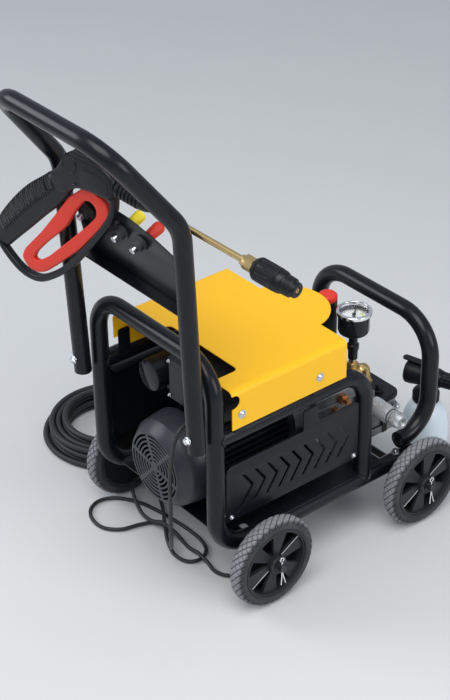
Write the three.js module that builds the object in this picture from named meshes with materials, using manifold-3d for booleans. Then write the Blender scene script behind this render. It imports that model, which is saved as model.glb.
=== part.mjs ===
// An electric pressure washer on a four-wheeled cart: bent-tube frame, folded sheet hood, induction motor,
// plunger pump, gun with lance, foam cannon, mains lead and high-pressure hose.
//
// Millimetres. +X forward (towards the bumper), +Y left, +Z up. The code is written with the rear axle at
// x = 0 and the floor at z = 0; the last lines move the whole group so that its own frame is centred.
import * as THREE from "three";
import { mergeVertices } from "three/addons/utils/BufferGeometryUtils.js";
import Module from "manifold-3d";

const wasm = await Module();
wasm.setup();

// ---------------------------------------------------------------- driving dimensions
const WHEEL_R = 100; // eight-inch wheels
const WHEEL_W = 39;
const WHEELBASE = 416;
const TUBE_R = 18.5; // main tubing
const HALF_W = 186; // centre of a frame side tube from the centre plane
const WHEEL_OUT = HALF_W + 78; // outer face of a wheel from the centre plane
const HOOP_X = -93; // rear hoop, ahead of the handle
const HOOP_TOP = 563;
const RAIL_Z = 131; // bottom rails
const SIDE_Z = 403; // upper side rails
const FRONT_X = 298; // front uprights
const HANDLE_X = -137;
const HANDLE_TOP = 1068;
const BUMPER_X = 498;
const BUMPER_TOP = 425;
const MOTOR_Y = -34;
const MOTOR_Z = 272;
const MOTOR_R = 92;
const GAP = 0.35; // clearance between pieces that touch
const PLATE = 3; // base plate thickness
const SHEET = 2; // hood and cover sheet

const V = (x, y, z) => new THREE.Vector3(x, y, z);
const X = V(1, 0, 0);
const Y = V(0, 1, 0);
const Z = V(0, 0, 1);

// ---------------------------------------------------------------- solids
// A geometry as a manifold solid, turned the right way out.
function solid(geometry) {
  const loose = geometry.index ? geometry.toNonIndexed() : geometry;
  const merged = mergeVertices(new THREE.BufferGeometry().setAttribute("position", loose.getAttribute("position")), 1e-3);
  const triVerts = new Uint32Array(merged.index.array);
  const vertProperties = merged.getAttribute("position").array;
  let made = new wasm.Manifold(new wasm.Mesh({ numProp: 3, vertProperties, triVerts }));
  if (made.volume() < 0) {
    for (let i = 0; i < triVerts.length; i += 3) {
      [triVerts[i + 1], triVerts[i + 2]] = [triVerts[i + 2], triVerts[i + 1]];
    }
    made = new wasm.Manifold(new wasm.Mesh({ numProp: 3, vertProperties, triVerts }));
  }
  return made;
}

const asSolid = (thing) => (thing.isBufferGeometry ? solid(thing) : thing);
const join = (...things) => wasm.Manifold.union(things.flat().map(asSolid));
const cut = (thing, ...tools) => asSolid(thing).subtract(join(...tools));
const common = (a, b) => asSolid(a).intersect(asSolid(b));

function geometryOf(made) {
  const mesh = made.getMesh();
  const geometry = new THREE.BufferGeometry();
  geometry.setAttribute("position", new THREE.BufferAttribute(new Float32Array(mesh.vertProperties), 3));
  geometry.setIndex(new THREE.BufferAttribute(new Uint32Array(mesh.triVerts), 1));
  geometry.computeVertexNormals();
  return geometry;
}

// ---------------------------------------------------------------- shapes
function box(x0, x1, y0, y1, z0, z1) {
  return new THREE.BoxGeometry(x1 - x0, y1 - y0, z1 - z0).translate((x0 + x1) / 2, (y0 + y1) / 2, (z0 + z1) / 2);
}

// Puts a geometry drawn in local (u, v, w) at origin, with u and v along the given directions.
function placed(geometry, origin, u, v) {
  const w = new THREE.Vector3().crossVectors(u, v).normalize();
  return geometry.applyMatrix4(new THREE.Matrix4().makeBasis(u, v, w).setPosition(origin));
}

// A rod between two points.
function rod(from, to, radius, sides = 16, endRadius = radius) {
  const along = to.clone().sub(from);
  const geometry = new THREE.CylinderGeometry(endRadius, radius, along.length(), sides);
  geometry.applyQuaternion(new THREE.Quaternion().setFromUnitVectors(Y, along.clone().normalize()));
  return geometry.translate(...from.clone().add(to).multiplyScalar(0.5).toArray());
}

// A turned piece: profile of [distance along the axis, radius] from the given origin.
function turned(profile, origin, axis, sides = 24) {
  const points = profile.map(([along, radius]) => new THREE.Vector2(radius, along));
  const geometry = new THREE.LatheGeometry(points, sides);
  geometry.applyQuaternion(new THREE.Quaternion().setFromUnitVectors(Y, axis.clone().normalize()));
  return geometry.translate(...origin.toArray());
}

function outline(points, holes = []) {
  const shape = new THREE.Shape(points.map(([a, b]) => new THREE.Vector2(a, b)));
  shape.holes = holes.map((hole) => new THREE.Path(hole.map(([a, b]) => new THREE.Vector2(a, b))));
  return shape;
}

function slab(points, depth, holes = []) {
  return new THREE.ExtrudeGeometry(outline(points, holes), { depth, bevelEnabled: false });
}

// Corner points of a rectangle with each corner rounded by an arc of a few points.
function rounded(x0, x1, y0, y1, r, steps = 3) {
  const points = [];
  const corners = [
    [x1 - r, y0 + r, -90],
    [x1 - r, y1 - r, 0],
    [x0 + r, y1 - r, 90],
    [x0 + r, y0 + r, 180],
  ];
  for (const [cx, cy, start] of corners) {
    for (let i = 0; i <= steps; i++) {
      const a = THREE.MathUtils.degToRad(start + (90 * i) / steps);
      points.push([cx + r * Math.cos(a), cy + r * Math.sin(a)]);
    }
  }
  return points;
}

// A polygon in a plane with its corners rounded, as points.
function softened(points, r, steps = 2) {
  const made = [];
  points.forEach((point, i) => {
    const before = points[(i + points.length - 1) % points.length];
    const after = points[(i + 1) % points.length];
    const a = V(before[0] - point[0], before[1] - point[1], 0);
    const b = V(after[0] - point[0], after[1] - point[1], 0);
    const reach = Math.min(r, a.length() / 2.2, b.length() / 2.2);
    const start = V(point[0], point[1], 0).addScaledVector(a.normalize(), reach);
    const end = V(point[0], point[1], 0).addScaledVector(b.normalize(), reach);
    const middle = V(point[0], point[1], 0);
    for (let k = 0; k <= steps; k++) {
      const t = k / steps;
      const q = start.clone().multiplyScalar((1 - t) ** 2);
      q.addScaledVector(middle, 2 * t * (1 - t)).addScaledVector(end, t * t);
      made.push([q.x, q.y]);
    }
  });
  return made;
}

// A route of straight runs and round bends, whose points stand only where the tube turns.
class Route extends THREE.Curve {
  constructor(points, bendRadius, arcSteps = 6) {
    super();
    this.places = [];
    this.ways = [];
    const radii = Array.isArray(bendRadius) ? bendRadius : points.map(() => bendRadius);
    const first = points[1].clone().sub(points[0]).normalize();
    this.add(points[0], first);
    for (let i = 1; i < points.length - 1; i++) {
      this.bend(points[i - 1], points[i], points[i + 1], radii[i], arcSteps);
    }
    const n = points.length;
    this.add(points[n - 1], points[n - 1].clone().sub(points[n - 2]).normalize());
  }
  add(place, way) {
    this.places.push(place.clone());
    this.ways.push(way.clone());
  }
  bend(before, corner, after, radius, arcSteps) {
    const back = before.clone().sub(corner).normalize();
    const on = after.clone().sub(corner).normalize();
    const turn = Math.PI - back.angleTo(on);
    const start = corner.clone().addScaledVector(back, radius * Math.tan(turn / 2));
    const middle = back.clone().add(on).normalize();
    const centre = corner.clone().addScaledVector(middle, radius / Math.cos(turn / 2));
    const e1 = start.clone().sub(centre).normalize();
    const e2 = back.clone().negate();
    const steps = Math.max(1, Math.ceil((arcSteps * turn) / (Math.PI / 2)));
    for (let k = 0; k <= steps; k++) {
      const a = (turn * k) / steps;
      const place = centre.clone().addScaledVector(e1, radius * Math.cos(a)).addScaledVector(e2, radius * Math.sin(a));
      this.add(place, e2.clone().multiplyScalar(Math.cos(a)).addScaledVector(e1, -Math.sin(a)));
    }
  }
  get steps() {
    return this.places.length - 1;
  }
  getPoint(t, target = new THREE.Vector3()) {
    return target.copy(this.places[Math.round(t * this.steps)]);
  }
  getPointAt(u, target) {
    return this.getPoint(u, target);
  }
  getTangent(t, target = new THREE.Vector3()) {
    return target.copy(this.ways[Math.round(t * this.steps)]);
  }
  getTangentAt(u, target) {
    return this.getTangent(u, target);
  }
}

function ring(radius, sides, turn = 0) {
  const points = [];
  for (let i = 0; i < sides; i++) {
    const a = turn + (2 * Math.PI * i) / sides;
    points.push([radius * Math.cos(a), radius * Math.sin(a)]);
  }
  return points;
}

function tube(points, bendRadius, radius, sides = 12, arcSteps = 5) {
  const route = new Route(points, bendRadius, arcSteps);
  return new THREE.ExtrudeGeometry(outline(ring(radius, sides)), {
    steps: route.steps,
    extrudePath: route,
    bevelEnabled: false,
  });
}

// ---------------------------------------------------------------- finishes
const finish = (color, roughness, metalness) => new THREE.MeshStandardMaterial({ color, roughness, metalness });
const BLACK_PAINT = finish(0x15171b, 0.35, 0.2);
const YELLOW_PAINT = finish(0xf2b705, 0.3, 0.1);
const BLACK_PLASTIC = finish(0x1a1b1e, 0.55, 0);
const RED_PLASTIC = finish(0xd8372c, 0.4, 0);
const YELLOW_PLASTIC = finish(0xf0e020, 0.45, 0);
const RUBBER = finish(0x202124, 0.85, 0);
const GREY_PAINT = finish(0x3a4048, 0.45, 0.3);
const ALUMINIUM = finish(0x8f9193, 0.45, 0.9);
const BRASS = finish(0xb08a3e, 0.35, 0.9);
const STEEL = finish(0xb9bcc0, 0.3, 0.95);
const CHROME = finish(0xe0e2e6, 0.12, 1);
const CLEAR = finish(0xdfe9f2, 0.15, 0);
const BOTTLE = finish(0xd6ecf8, 0.4, 0);
const DIAL = finish(0xf4f4f0, 0.6, 0);

const washer = new THREE.Group();
washer.name = "pressure_washer";
const cords = new Set();

function piece(name, thing, material, { cord = false } = {}) {
  const mesh = new THREE.Mesh(thing.isBufferGeometry ? thing : geometryOf(thing), material);
  mesh.name = name;
  washer.add(mesh);
  if (cord) cords.add(mesh);
  return mesh;
}

// ---------------------------------------------------------------- welded frame
function hoopAndRails() {
  const side = (y) => [V(445, y, RAIL_Z), V(HOOP_X, y, RAIL_Z), V(HOOP_X, y, HOOP_TOP)];
  const points = [...side(-HALF_W), ...side(HALF_W).reverse()];
  return tube(points, [0, 80, 78, 78, 80, 0], TUBE_R);
}

function sideRail(y) {
  return tube([V(HOOP_X, y, SIDE_Z), V(FRONT_X, y, SIDE_Z), V(FRONT_X, y, RAIL_Z)], 70, TUBE_R);
}

// Upright tabs on a side rail, just inside the hood's flange, that its screws run into.
function hoodTabs(y) {
  return [-43, 155].map((x) => box(x - 14, x + 14, y - 1.5, y + 1.5, SIDE_Z, 470));
}

function frame() {
  const crossbars = [-20, 330].map((x) => rod(V(x, -HALF_W, RAIL_Z), V(x, HALF_W, RAIL_Z), 12, 12));
  const inside = SHEET + GAP + 1.5;
  const tabs = [hoodTabs(HOOD_NEAR + inside), hoodTabs(HOOD_FAR - inside)].flat();
  const welded = join(hoopAndRails(), sideRail(-HALF_W), sideRail(HALF_W), crossbars, tabs);
  piece("frame", welded, BLACK_PAINT);
}

function bumper() {
  const y = 175;
  const z = RAIL_Z + 2 * TUBE_R + GAP;
  const side = (s) => [V(412, s * y, z), V(BUMPER_X, s * y, z), V(BUMPER_X, s * y, BUMPER_TOP)];
  const bent = tube([...side(-1), ...side(1).reverse()], [0, 80, 88, 88, 80, 0], TUBE_R);
  piece("bumper", bent, BLACK_PAINT);
}

// ---------------------------------------------------------------- handle and nozzle panel
const LEAN = THREE.MathUtils.degToRad(2.6);
const BEND = V(-158, 0, 884); // where a handle leg turns back
const GRIP = V(-299, 0, HANDLE_TOP); // centre of the handle's crossbar

function handle() {
  const foot = (s) => V(HANDLE_X, s * HALF_W, 398);
  const knee = (s) => V(BEND.x, s * HALF_W, BEND.z);
  const top = (s) => V(GRIP.x, s * (HALF_W - 24), GRIP.z);
  const points = [foot(-1), knee(-1), top(-1), top(1), knee(1), foot(1)];
  piece("handle", tube(points, [0, 90, 70, 70, 90, 0], TUBE_R - 0.5), BLACK_PAINT);
}

// The sheet that holds the gun and the spray nozzles: it leans back between the handle's legs.
const PANEL_LEAN = THREE.MathUtils.degToRad(12);
const PANEL_UP = V(-Math.sin(PANEL_LEAN), 0, Math.cos(PANEL_LEAN));
const PANEL_OUT = V(-Math.cos(PANEL_LEAN), 0, -Math.sin(PANEL_LEAN));
const PANEL_FOOT = V(-121, 0, 688);
const NOZZLE_Y = [122, 12, -46];
const NOZZLE_UP = 108;
const NOZZLE_TILT = THREE.MathUtils.degToRad(24);
const NOZZLE_OUT = V(-Math.cos(NOZZLE_TILT), 0, -Math.sin(NOZZLE_TILT));

function onPanel(y, up, out = 0) {
  return PANEL_FOOT.clone().addScaledVector(PANEL_UP, up).addScaledVector(PANEL_OUT, out).setY(y);
}

function nozzlePanel() {
  const half = HALF_W - TUBE_R - 1;
  const top = [[half, 118], [110, 138], [60, 152], [-20, 150], [-100, 134], [-half, 112]];
  const sheet = slab([[-half, 0], [half, 0], ...top], SHEET, []);
  const plate = placed(sheet, PANEL_FOOT.clone(), Y, PANEL_UP);
  const flange = placed(slab([[-half, -1], [half, -1], [half, 24], [-half, 24]], SHEET), onPanel(0, 1), Y, PANEL_OUT);
  const holes = NOZZLE_Y.map((y) => rod(onPanel(y, NOZZLE_UP, 20), onPanel(y, NOZZLE_UP, -20), 8.6, 16));
  piece("nozzle_panel", cut(join(plate, flange), holes), BLACK_PAINT);
}

function sprayNozzle(name, y, material) {
  const tip = [[-14, 0], [-14, 5.5], [2, 5.5], [2, 7.4], [16, 7.4], [16, 11], [40, 12.5], [46, 10], [46, 0]];
  piece(name, turned(tip, onPanel(y, NOZZLE_UP, -3), NOZZLE_OUT.clone().negate(), 14), material);
}

// ---------------------------------------------------------------- hood
const HOOD_NEAR = -HALF_W - TUBE_R - 2.5;
const HOOD_FAR = HALF_W - 11;
const HOOD_TOP = 510;
const HOOD_LOW = 424;
const HOOD_BACK = -66;
const HOOD_FRONT = 226;

function hood() {
  // The folded sheet's cross-section, run along X, with the lobe added in front.
  const fold = 12;
  const across = (grow) => {
    const near = HOOD_NEAR + grow;
    const far = HOOD_FAR - grow;
    const top = HOOD_TOP - grow;
    const arc = (cy, from) => [0, 1, 2, 3].map((i) => {
      const a = THREE.MathUtils.degToRad(from + 30 * i);
      return [cy + (fold - grow) * Math.cos(a), HOOD_TOP - fold + (fold - grow) * Math.sin(a)];
    });
    return { near, far, top, left: arc(HOOD_FAR - fold, 0), right: arc(HOOD_NEAR + fold, 90) };
  };
  const out = across(0);
  const inn = across(SHEET);
  const points = [[out.far, HOOD_LOW], ...out.left, ...out.right, [out.near, HOOD_LOW], [inn.near, HOOD_LOW],
    ...inn.right.slice().reverse(), ...inn.left.slice().reverse(), [inn.far, HOOD_LOW]];
  const shell = placed(slab(points, HOOD_FRONT - HOOD_BACK), V(HOOD_BACK, 0, 0), Y, Z);
  const lobe = rod(V(211, -35, HOOD_TOP - SHEET), V(211, -35, HOOD_TOP), 94, 40);
  const trimmed = common(lobe, box(150, 400, -200, 200, HOOD_TOP - SHEET, HOOD_TOP));
  const opening = placed(slab(softened([[-90, -150], [-4, -150], [-4, 66], [-90, 66]], 14), 40), V(0, 0, 490), X, Y);
  const notch = rod(V(-62, HOOD_NEAR - 5, 486), V(-62, HOOD_NEAR + 20, 486), 15, 16);
  const farNotch = box(-80, -30, HOOD_FAR - 10, HOOD_FAR + 5, 415, 452);
  piece("hood", cut(join(shell, trimmed), opening, notch, farNotch), YELLOW_PAINT);
}

// ---------------------------------------------------------------- side panels
const SLOTS = 9;
const SLOT_PITCH = 31.6;

function chevron(x) {
  return [[x - 27, 295], [x - 21, 295], [x + 3, 262], [x - 24, 222], [x - 31, 222], [x - 4, 262]];
}

function sidePanel(name, s) {
  const y = s < 0 ? -HALF_W - 4 : HALF_W + 4 + SHEET + 0.5;
  const slots = Array.from({ length: SLOTS }, (_, i) => slab(chevron(-4 + i * SLOT_PITCH), 20).translate(0, 0, -10));
  const rear = HOOP_X + TUBE_R + 3;
  const front = FRONT_X - TUBE_R - 1;
  const slotted = [[rear, 196], [front, 196], [front, 332], [front - 12, 338], [172, 338], [165, 346], [165, 376],
    [128, 376], [128, 328], [rear + 14, 328], [rear, 316]];
  const plain = [[rear, 196], [front, 196], [front, 318], [front - 44, 376], [rear, 376]];
  const upright = (shape) => placed(shape, V(0, y, 0), X, Z);
  const sheet = upright(slab(s < 0 ? slotted : plain, SHEET + 0.5));
  piece(name, s < 0 ? cut(sheet, slots.map(upright)) : sheet, BLACK_PAINT);
}

// ---------------------------------------------------------------- base plate and axles
const FLOOR_Z = RAIL_Z + TUBE_R + GAP; // underside of the base plate

function basePlate() {
  const onRails = box(-6, 352, -HALF_W - 12, HALF_W + 12, FLOOR_Z, FLOOR_Z + PLATE);
  const between = box(-72, -5, -HALF_W + TUBE_R + 1, HALF_W - TUBE_R - 1, FLOOR_Z, FLOOR_Z + PLATE);
  const cutouts = [-1, 1].map((s) => rod(V(FRONT_X, s * HALF_W, FLOOR_Z - 5), V(FRONT_X, s * HALF_W, 170), 19.5, 16));
  piece("base_plate", cut(join(onRails, between), cutouts), BLACK_PAINT);
}

function axle(name, x) {
  const half = WHEEL_OUT + 19;
  const bar = rod(V(x, -half, WHEEL_R), V(x, half, WHEEL_R), 8, 14);
  const saddles = [-1, 1].map((s) => box(x - 16, x + 16, s * HALF_W - 14, s * HALF_W + 14, WHEEL_R - 8, RAIL_Z - TUBE_R - GAP));
  const holes = [-1, 1].map((s) => rod(V(x, s * (half - 6), WHEEL_R - 20), V(x, s * (half - 6), WHEEL_R + 20), 2.2, 8));
  piece(name, cut(join(bar, saddles), holes), STEEL);
}

// ---------------------------------------------------------------- wheels
function wheel(tag, x, s) {
  const out = s * WHEEL_OUT;
  const way = V(0, s, 0);
  const centre = V(x, out, WHEEL_R);
  const w = WHEEL_W;
  const tyre = [[-w, 80], [-w, 90], [-w + 7, 97.5], [-w / 2, WHEEL_R], [-7, 97.5], [0, 90], [-1, 80], [-w, 80]];
  piece("tyre_" + tag, turned(tyre, centre, way, 30), RUBBER);

  const rim = [[-w + 2, 71], [-w + 2, 79.3], [-4, 79.3], [-4, 71], [-w + 2, 71]];
  const hub = [[-w - 6, 0], [-w - 6, 16], [-8, 21], [2, 21], [6, 15], [6, 0]];
  const spokes = Array.from({ length: 6 }, (_, i) => {
    const shape = [[15, -10], [73, -17], [73, 17], [15, 10]];
    const blade = placed(slab(shape, 9), V(0, 0, 0), X, Y).translate(0, 0, -4.5);
    blade.rotateZ((i * Math.PI) / 3 + 0.32);
    blade.rotateX(Math.PI / 2);
    return blade.translate(x, out - s * 12, WHEEL_R);
  });
  const web = rod(V(x, out - s * (w - 4), WHEEL_R), V(x, out - s * (w - 8), WHEEL_R), 72, 26);
  const core = join(turned(rim, centre, way, 26), turned(hub, centre, way, 12), spokes, web);
  const bore = rod(V(x, out - s * 60, WHEEL_R), V(x, out + s * 20, WHEEL_R), 8.4, 14);
  piece("rim_" + tag, cut(core, bore), BLACK_PLASTIC);

  const at = V(x, s * (WHEEL_OUT + 13), WHEEL_R);
  const wire = tube([at.clone().add(V(0, 0, 15)), at.clone().add(V(0, 0, -16)), at.clone().add(V(4, s * 3, -40))], 8, 1.9, 8, 3);
  piece("cotter_" + tag, wire, CHROME);
}

// ---------------------------------------------------------------- motor
function motor() {
  const at = (x) => V(x, MOTOR_Y, MOTOR_Z);
  const foot = box(-20, 130, MOTOR_Y - 80, MOTOR_Y + 80, FLOOR_Z + PLATE + GAP, FLOOR_Z + PLATE + 12);
  const legs = [-62, 62].map((y) => box(-10, 120, MOTOR_Y + y - 12, MOTOR_Y + y + 12, FLOOR_Z + PLATE + 2, MOTOR_Z - MOTOR_R / 2));
  const core = rod(at(-52), at(166), MOTOR_R, 32);
  const nose = rod(at(160), at(184), 72, 32);
  const bore = rod(at(-60), at(-30), 9.5, 16);
  piece("motor", cut(join(core, nose, foot, legs), bore), GREY_PAINT);
}

function fanCover() {
  const at = (x) => V(x, MOTOR_Y, MOTOR_Z);
  const face = HOOP_X - 35;
  const shell = [[0, 0], [0, 74], [2, 77], [24, 94], [60, 100], [76, 100], [76, 97.6], [60, 97.6], [24, 91], [3, 74.5],
    [3, 0]];
  const body = turned(shell, at(face), X, 30);
  const slots = [];
  for (const radius of [30, 46, 62]) {
    for (let k = 0; k < 6; k++) {
      const from = (k * Math.PI) / 3 + 0.12;
      const points = [];
      for (let i = 0; i <= 2; i++) points.push([radius - 4.5, from + 0.4 * i]);
      for (let i = 2; i >= 0; i--) points.push([radius + 4.5, from + 0.4 * i]);
      const flat = points.map(([r, a]) => [r * Math.cos(a), r * Math.sin(a)]);
      slots.push(placed(slab(flat, 20), at(face - 8), Y, Z));
    }
  }
  const hole = rod(at(face - 5), at(face + 10), 10, 14);
  const rest = rod(at(-52 - GAP), at(200), MOTOR_R + GAP, 32);
  piece("fan_cover", cut(body, slots, hole, rest), GREY_PAINT);
}

function fan() {
  const at = (x) => V(x, MOTOR_Y, MOTOR_Z);
  const shaft = rod(at(-112), at(-34), 9, 14);
  const hub = rod(at(-98), at(-70), 24, 16);
  const blades = Array.from({ length: 6 }, (_, i) => {
    const blade = box(-96, -72, -1.5, 1.5, 15, 80);
    return blade.rotateX((i * Math.PI) / 3).translate(0, MOTOR_Y, MOTOR_Z);
  });
  piece("fan", join(shaft, hub, blades), BLACK_PLASTIC);
}

// ---------------------------------------------------------------- electrical box
const BOX = { x0: -58, x1: 62, y0: -140, y1: 6, z0: 392, z1: 486 };

function controlBox() {
  const hull = placed(slab(rounded(BOX.x0, BOX.x1, BOX.y0, BOX.y1, 8), BOX.z1 - BOX.z0), V(0, 0, BOX.z0), X, Y);
  const switchWell = box(BOX.x0 - 5, BOX.x0 + 14, -108, -82, 428, 456);
  const neck = box(-20, 30, -70, -10, MOTOR_Z + MOTOR_R - 6, BOX.z0 + 2);
  const seat = rod(V(-40, MOTOR_Y, MOTOR_Z), V(50, MOTOR_Y, MOTOR_Z), MOTOR_R + GAP, 32);
  piece("control_box", cut(join(hull, neck), switchWell, seat), BLACK_PLASTIC);
}

function rockerSwitch() {
  const shape = slab(softened([[10, 431], [10, 453], [-4, 453], [0, 442], [-1, 431]], 1, 1), 20);
  const rocker = placed(shape, V(BOX.x0, -85, 0), X, Z);
  piece("rocker_switch", rocker, RED_PLASTIC);
}

function capacitorBox() {
  const hull = rod(V(-62, 66, 412), V(110, 66, 412), 34, 20);
  const strap = box(-20, 60, 30, 60, 345, 420);
  piece("capacitor_box", join(hull, cut(strap, rod(V(-40, MOTOR_Y, MOTOR_Z), V(80, MOTOR_Y, MOTOR_Z), MOTOR_R + GAP, 32))), BLACK_PLASTIC);
}

// ---------------------------------------------------------------- pump
const PUMP = { x0: 352 + GAP, x1: 468, y0: -116, y1: 40, z0: 156, cap: 228 };

function pump() {
  const nose = rod(V(184 + GAP, MOTOR_Y, MOTOR_Z), V(250, MOTOR_Y, MOTOR_Z), 58, 24);
  const { x0, x1, y0, y1, z0, cap } = PUMP;
  const block = placed(slab(rounded(236, 352, y0 + 10, y1 - 6, 12), 120), V(0, 0, 200), X, Y);
  const feet = box(240, 345, y0 + 14, y1 - 10, FLOOR_Z + PLATE + GAP, 204);
  piece("pump_flange", join(nose, block, feet), ALUMINIUM);
  const fin = (cap - z0) / 4;
  const fins = [0, 1, 2, 3].map((i) => {
    const grow = i % 2 ? 0 : 4;
    return placed(slab(rounded(x0, x1 + grow, y0 - grow, y1 + grow, 14), fin + 0.5), V(0, 0, z0 + i * fin), X, Y);
  });
  const tower = placed(slab(rounded(x0, 402, y0, y1, 10), 112), V(0, 0, z0), X, Y);
  piece("pump_head", join(fins, tower), ALUMINIUM);
  const foot = cap + 0.5 + GAP;
  const lid = placed(slab(rounded(406, x1 + 4, y0 - 4, y1 + 4, 22, 4), 14), V(0, 0, foot), X, Y);
  piece("pump_cover", lid, BLACK_PLASTIC);
  const oilCap = [[0, 0], [0, 10], [12, 10], [17, 8], [19, 0]];
  piece("oil_cap", turned(oilCap, V(431, -92, foot + 14 + GAP), Z, 14), BLACK_PLASTIC);
}

function valveBlock() {
  const riser = rod(V(340, -68, 321 + GAP), V(340, -68, 352), 14, 18);
  const cross = rod(V(340, -52, 338), V(340, -112, 338), 13, 12);
  const gaugePort = rod(V(340, -104, 330), V(340, -104, 372), 10, 6);
  piece("valve_block", join(riser, cross, gaugePort), BRASS);
  const elbow = tube([V(353.8, -104, 338), V(378, -104, 338), V(384, -104, 290)], 14, 8.5, 12, 4);
  piece("inlet_elbow", elbow, BRASS);
}

function regulator() {
  const at = V(334, -30, 321 + 2 * GAP);
  piece("regulator_body", turned([[0, 0], [0, 17], [60, 17], [60, 20.5], [160, 20.5], [160, 0]], at, Z, 24), BLACK_PLASTIC);
  const top = at.clone().add(V(0, 0, 160 + GAP));
  piece("regulator_knob", turned([[0, 0], [0, 20], [10, 20.5], [15, 17], [15, 0]], top, Z, 24), RED_PLASTIC);
}

const GAUGE = V(340, -104, 372 + GAP);
const GAUGE_FACE = 112; // height of the dial above the stem's foot

function gauge() {
  const h = GAUGE_FACE;
  const can = [[0, 0], [0, 10], [24, 11], [36, 9], [60, 9], [60, 20], [68, 30], [h - 4, 33], [h - 4, 30], [h - 14, 30],
    [h - 14, 3], [h - 8, 3], [h - 8, 0]];
  piece("gauge_case", turned(can, GAUGE, Z, 28), BLACK_PLASTIC);
  const bezelAt = GAUGE.clone().add(V(0, 0, h - 4 + GAP));
  const bezel = [[0, 30.4], [0, 37.5], [7, 37.5], [9, 34], [9, 31], [0, 30.4]];
  piece("gauge_bezel", turned(bezel, bezelAt, Z, 28), CHROME);
  const pin = GAUGE.clone().add(V(0, 0, h - 8 + GAP));
  const arm = slab([[-9, -3], [0, -3.2], [27, -0.9], [27, 0.9], [0, 3.2], [-9, 3]], 2.2);
  const rest = V(0.8, 0.6, 0);
  const hand = placed(arm, pin.clone().add(V(0, 0, 0.4)), rest.clone().cross(Z), rest);
  const needle = join(hand, rod(pin, pin.clone().add(V(0, 0, 4)), 4, 12));
  piece("gauge_needle", needle, BLACK_PLASTIC);
}

function inletFilter() {
  const at = V(384, PUMP.y0 - GAP, 246);
  const shape = [[0, 0], [0, 13], [8, 13], [8, 21], [58, 20], [62, 16], [70, 16], [70, 18], [84, 18], [88, 15], [98, 15], [98, 0]];
  piece("inlet_filter", turned(shape, at, V(0, -1, 0), 20), CLEAR);
}

// ---------------------------------------------------------------- gun and lance
// The gun lies in a plane of its own: s along the barrel towards the nozzle, t up.
const GUN_AT = V(-133, -186, 875);
const GUN_S = V(0.172, -0.985, -0.095).normalize();
const GUN_N = new THREE.Vector3().crossVectors(Z, GUN_S).normalize();
const GUN_T = new THREE.Vector3().crossVectors(GUN_S, GUN_N).normalize();
const TRIGGER_PIVOT = [-250, -16];
const TRIGGER_W = 12.6;
const PIN_R = 3;
const GRIP_W = 34;

const gunPoint = (s, t = 0, n = 0) => {
  return GUN_AT.clone().addScaledVector(GUN_S, s).addScaledVector(GUN_T, t).addScaledVector(GUN_N, n);
};

function gunSlab(points, thick, holes = []) {
  return placed(slab(points, thick, holes).translate(0, 0, -thick / 2), GUN_AT.clone(), GUN_S, GUN_T);
}

// The lance runs slightly downhill in the gun's plane.
const lancePoint = (s) => gunPoint(s, -4 - 0.045 * s);
const LANCE_WAY = lancePoint(1).sub(lancePoint(0)).normalize();

function gunBody() {
  const shell = [[-180, 20], [-192, 32], [-214, 40], [-295, 40], [-313, 18], [-327, -12], [-360, -42], [-398, -75],
    [-437, -116], [-477, -165], [-506, -204], [-515, -226], [-498, -246], [-470, -250], [-444, -230], [-327, -90],
    [-290, -42], [-272, -30], [-180, -14]];
  const around = [[-180, 0], [-230, 20], [-300, 0], [-420, -120], [-505, -214], [-500, -246], [-465, -274],
    [-437, -292], [-409, -301], [-374, -294], [-338, -266], [-300, -230], [-264, -182], [-222, -122], [-190, -66],
    [-186, -44]];
  const window_ = [[-194, -30], [-193.5, -64], [-216, -101], [-267, -171], [-320, -227], [-359, -265], [-383, -278],
    [-412, -279], [-436, -259], [-446, -234], [-327, -90], [-290, -44], [-276, -30]];
  const slot = [[-204, -36], [-212, -22], [-232, 4], [-268, 4], [-300, -36], [-352, -100], [-402, -152],
    [-476, -238], [-470, -262], [-430, -262], [-327, -86], [-276, -38]];
  const guard = cut(gunSlab(softened(around, 8), 16), gunSlab(window_, 40));
  const solidGrip = join(gunSlab(softened(shell, 8), GRIP_W), guard);
  const socket = rod(lancePoint(-204), lancePoint(-100), 6.3, 14);
  const mouth = rod(lancePoint(-180), lancePoint(-100), 40, 8);
  const pin = rod(gunPoint(...TRIGGER_PIVOT, -10), gunPoint(...TRIGGER_PIVOT, 10), PIN_R, 14);
  piece("gun_body", join(cut(solidGrip, gunSlab(slot, TRIGGER_W + 1), socket, mouth), pin), BLACK_PLASTIC);
}

function gunTrigger() {
  const around = [[-272, -36], [-266, -26], [-262, -6], [-240, -6], [-236, -30], [-216, -33], [-201, -44], [-198, -63],
    [-220, -99], [-271, -167], [-324, -223], [-361, -260], [-384, -273], [-410, -274], [-429, -256], [-421, -234],
    [-376, -176], [-334, -114], [-303, -66]];
  const finger = [[-261, -55], [-246, -51], [-230, -61], [-231, -78], [-251, -104], [-297, -157], [-356, -223],
    [-383, -246], [-397, -246], [-389, -228], [-361, -193], [-329, -158], [-307, -131], [-282, -84]];
  const loop = cut(gunSlab(softened(around, 6), TRIGGER_W), gunSlab(softened(finger, 6), 30));
  const eye = rod(gunPoint(...TRIGGER_PIVOT, -9), gunPoint(...TRIGGER_PIVOT, 9), PIN_R + 0.08, 14);
  piece("gun_trigger", cut(loop, eye), RED_PLASTIC);
}

const NUT_END = 145;

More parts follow.
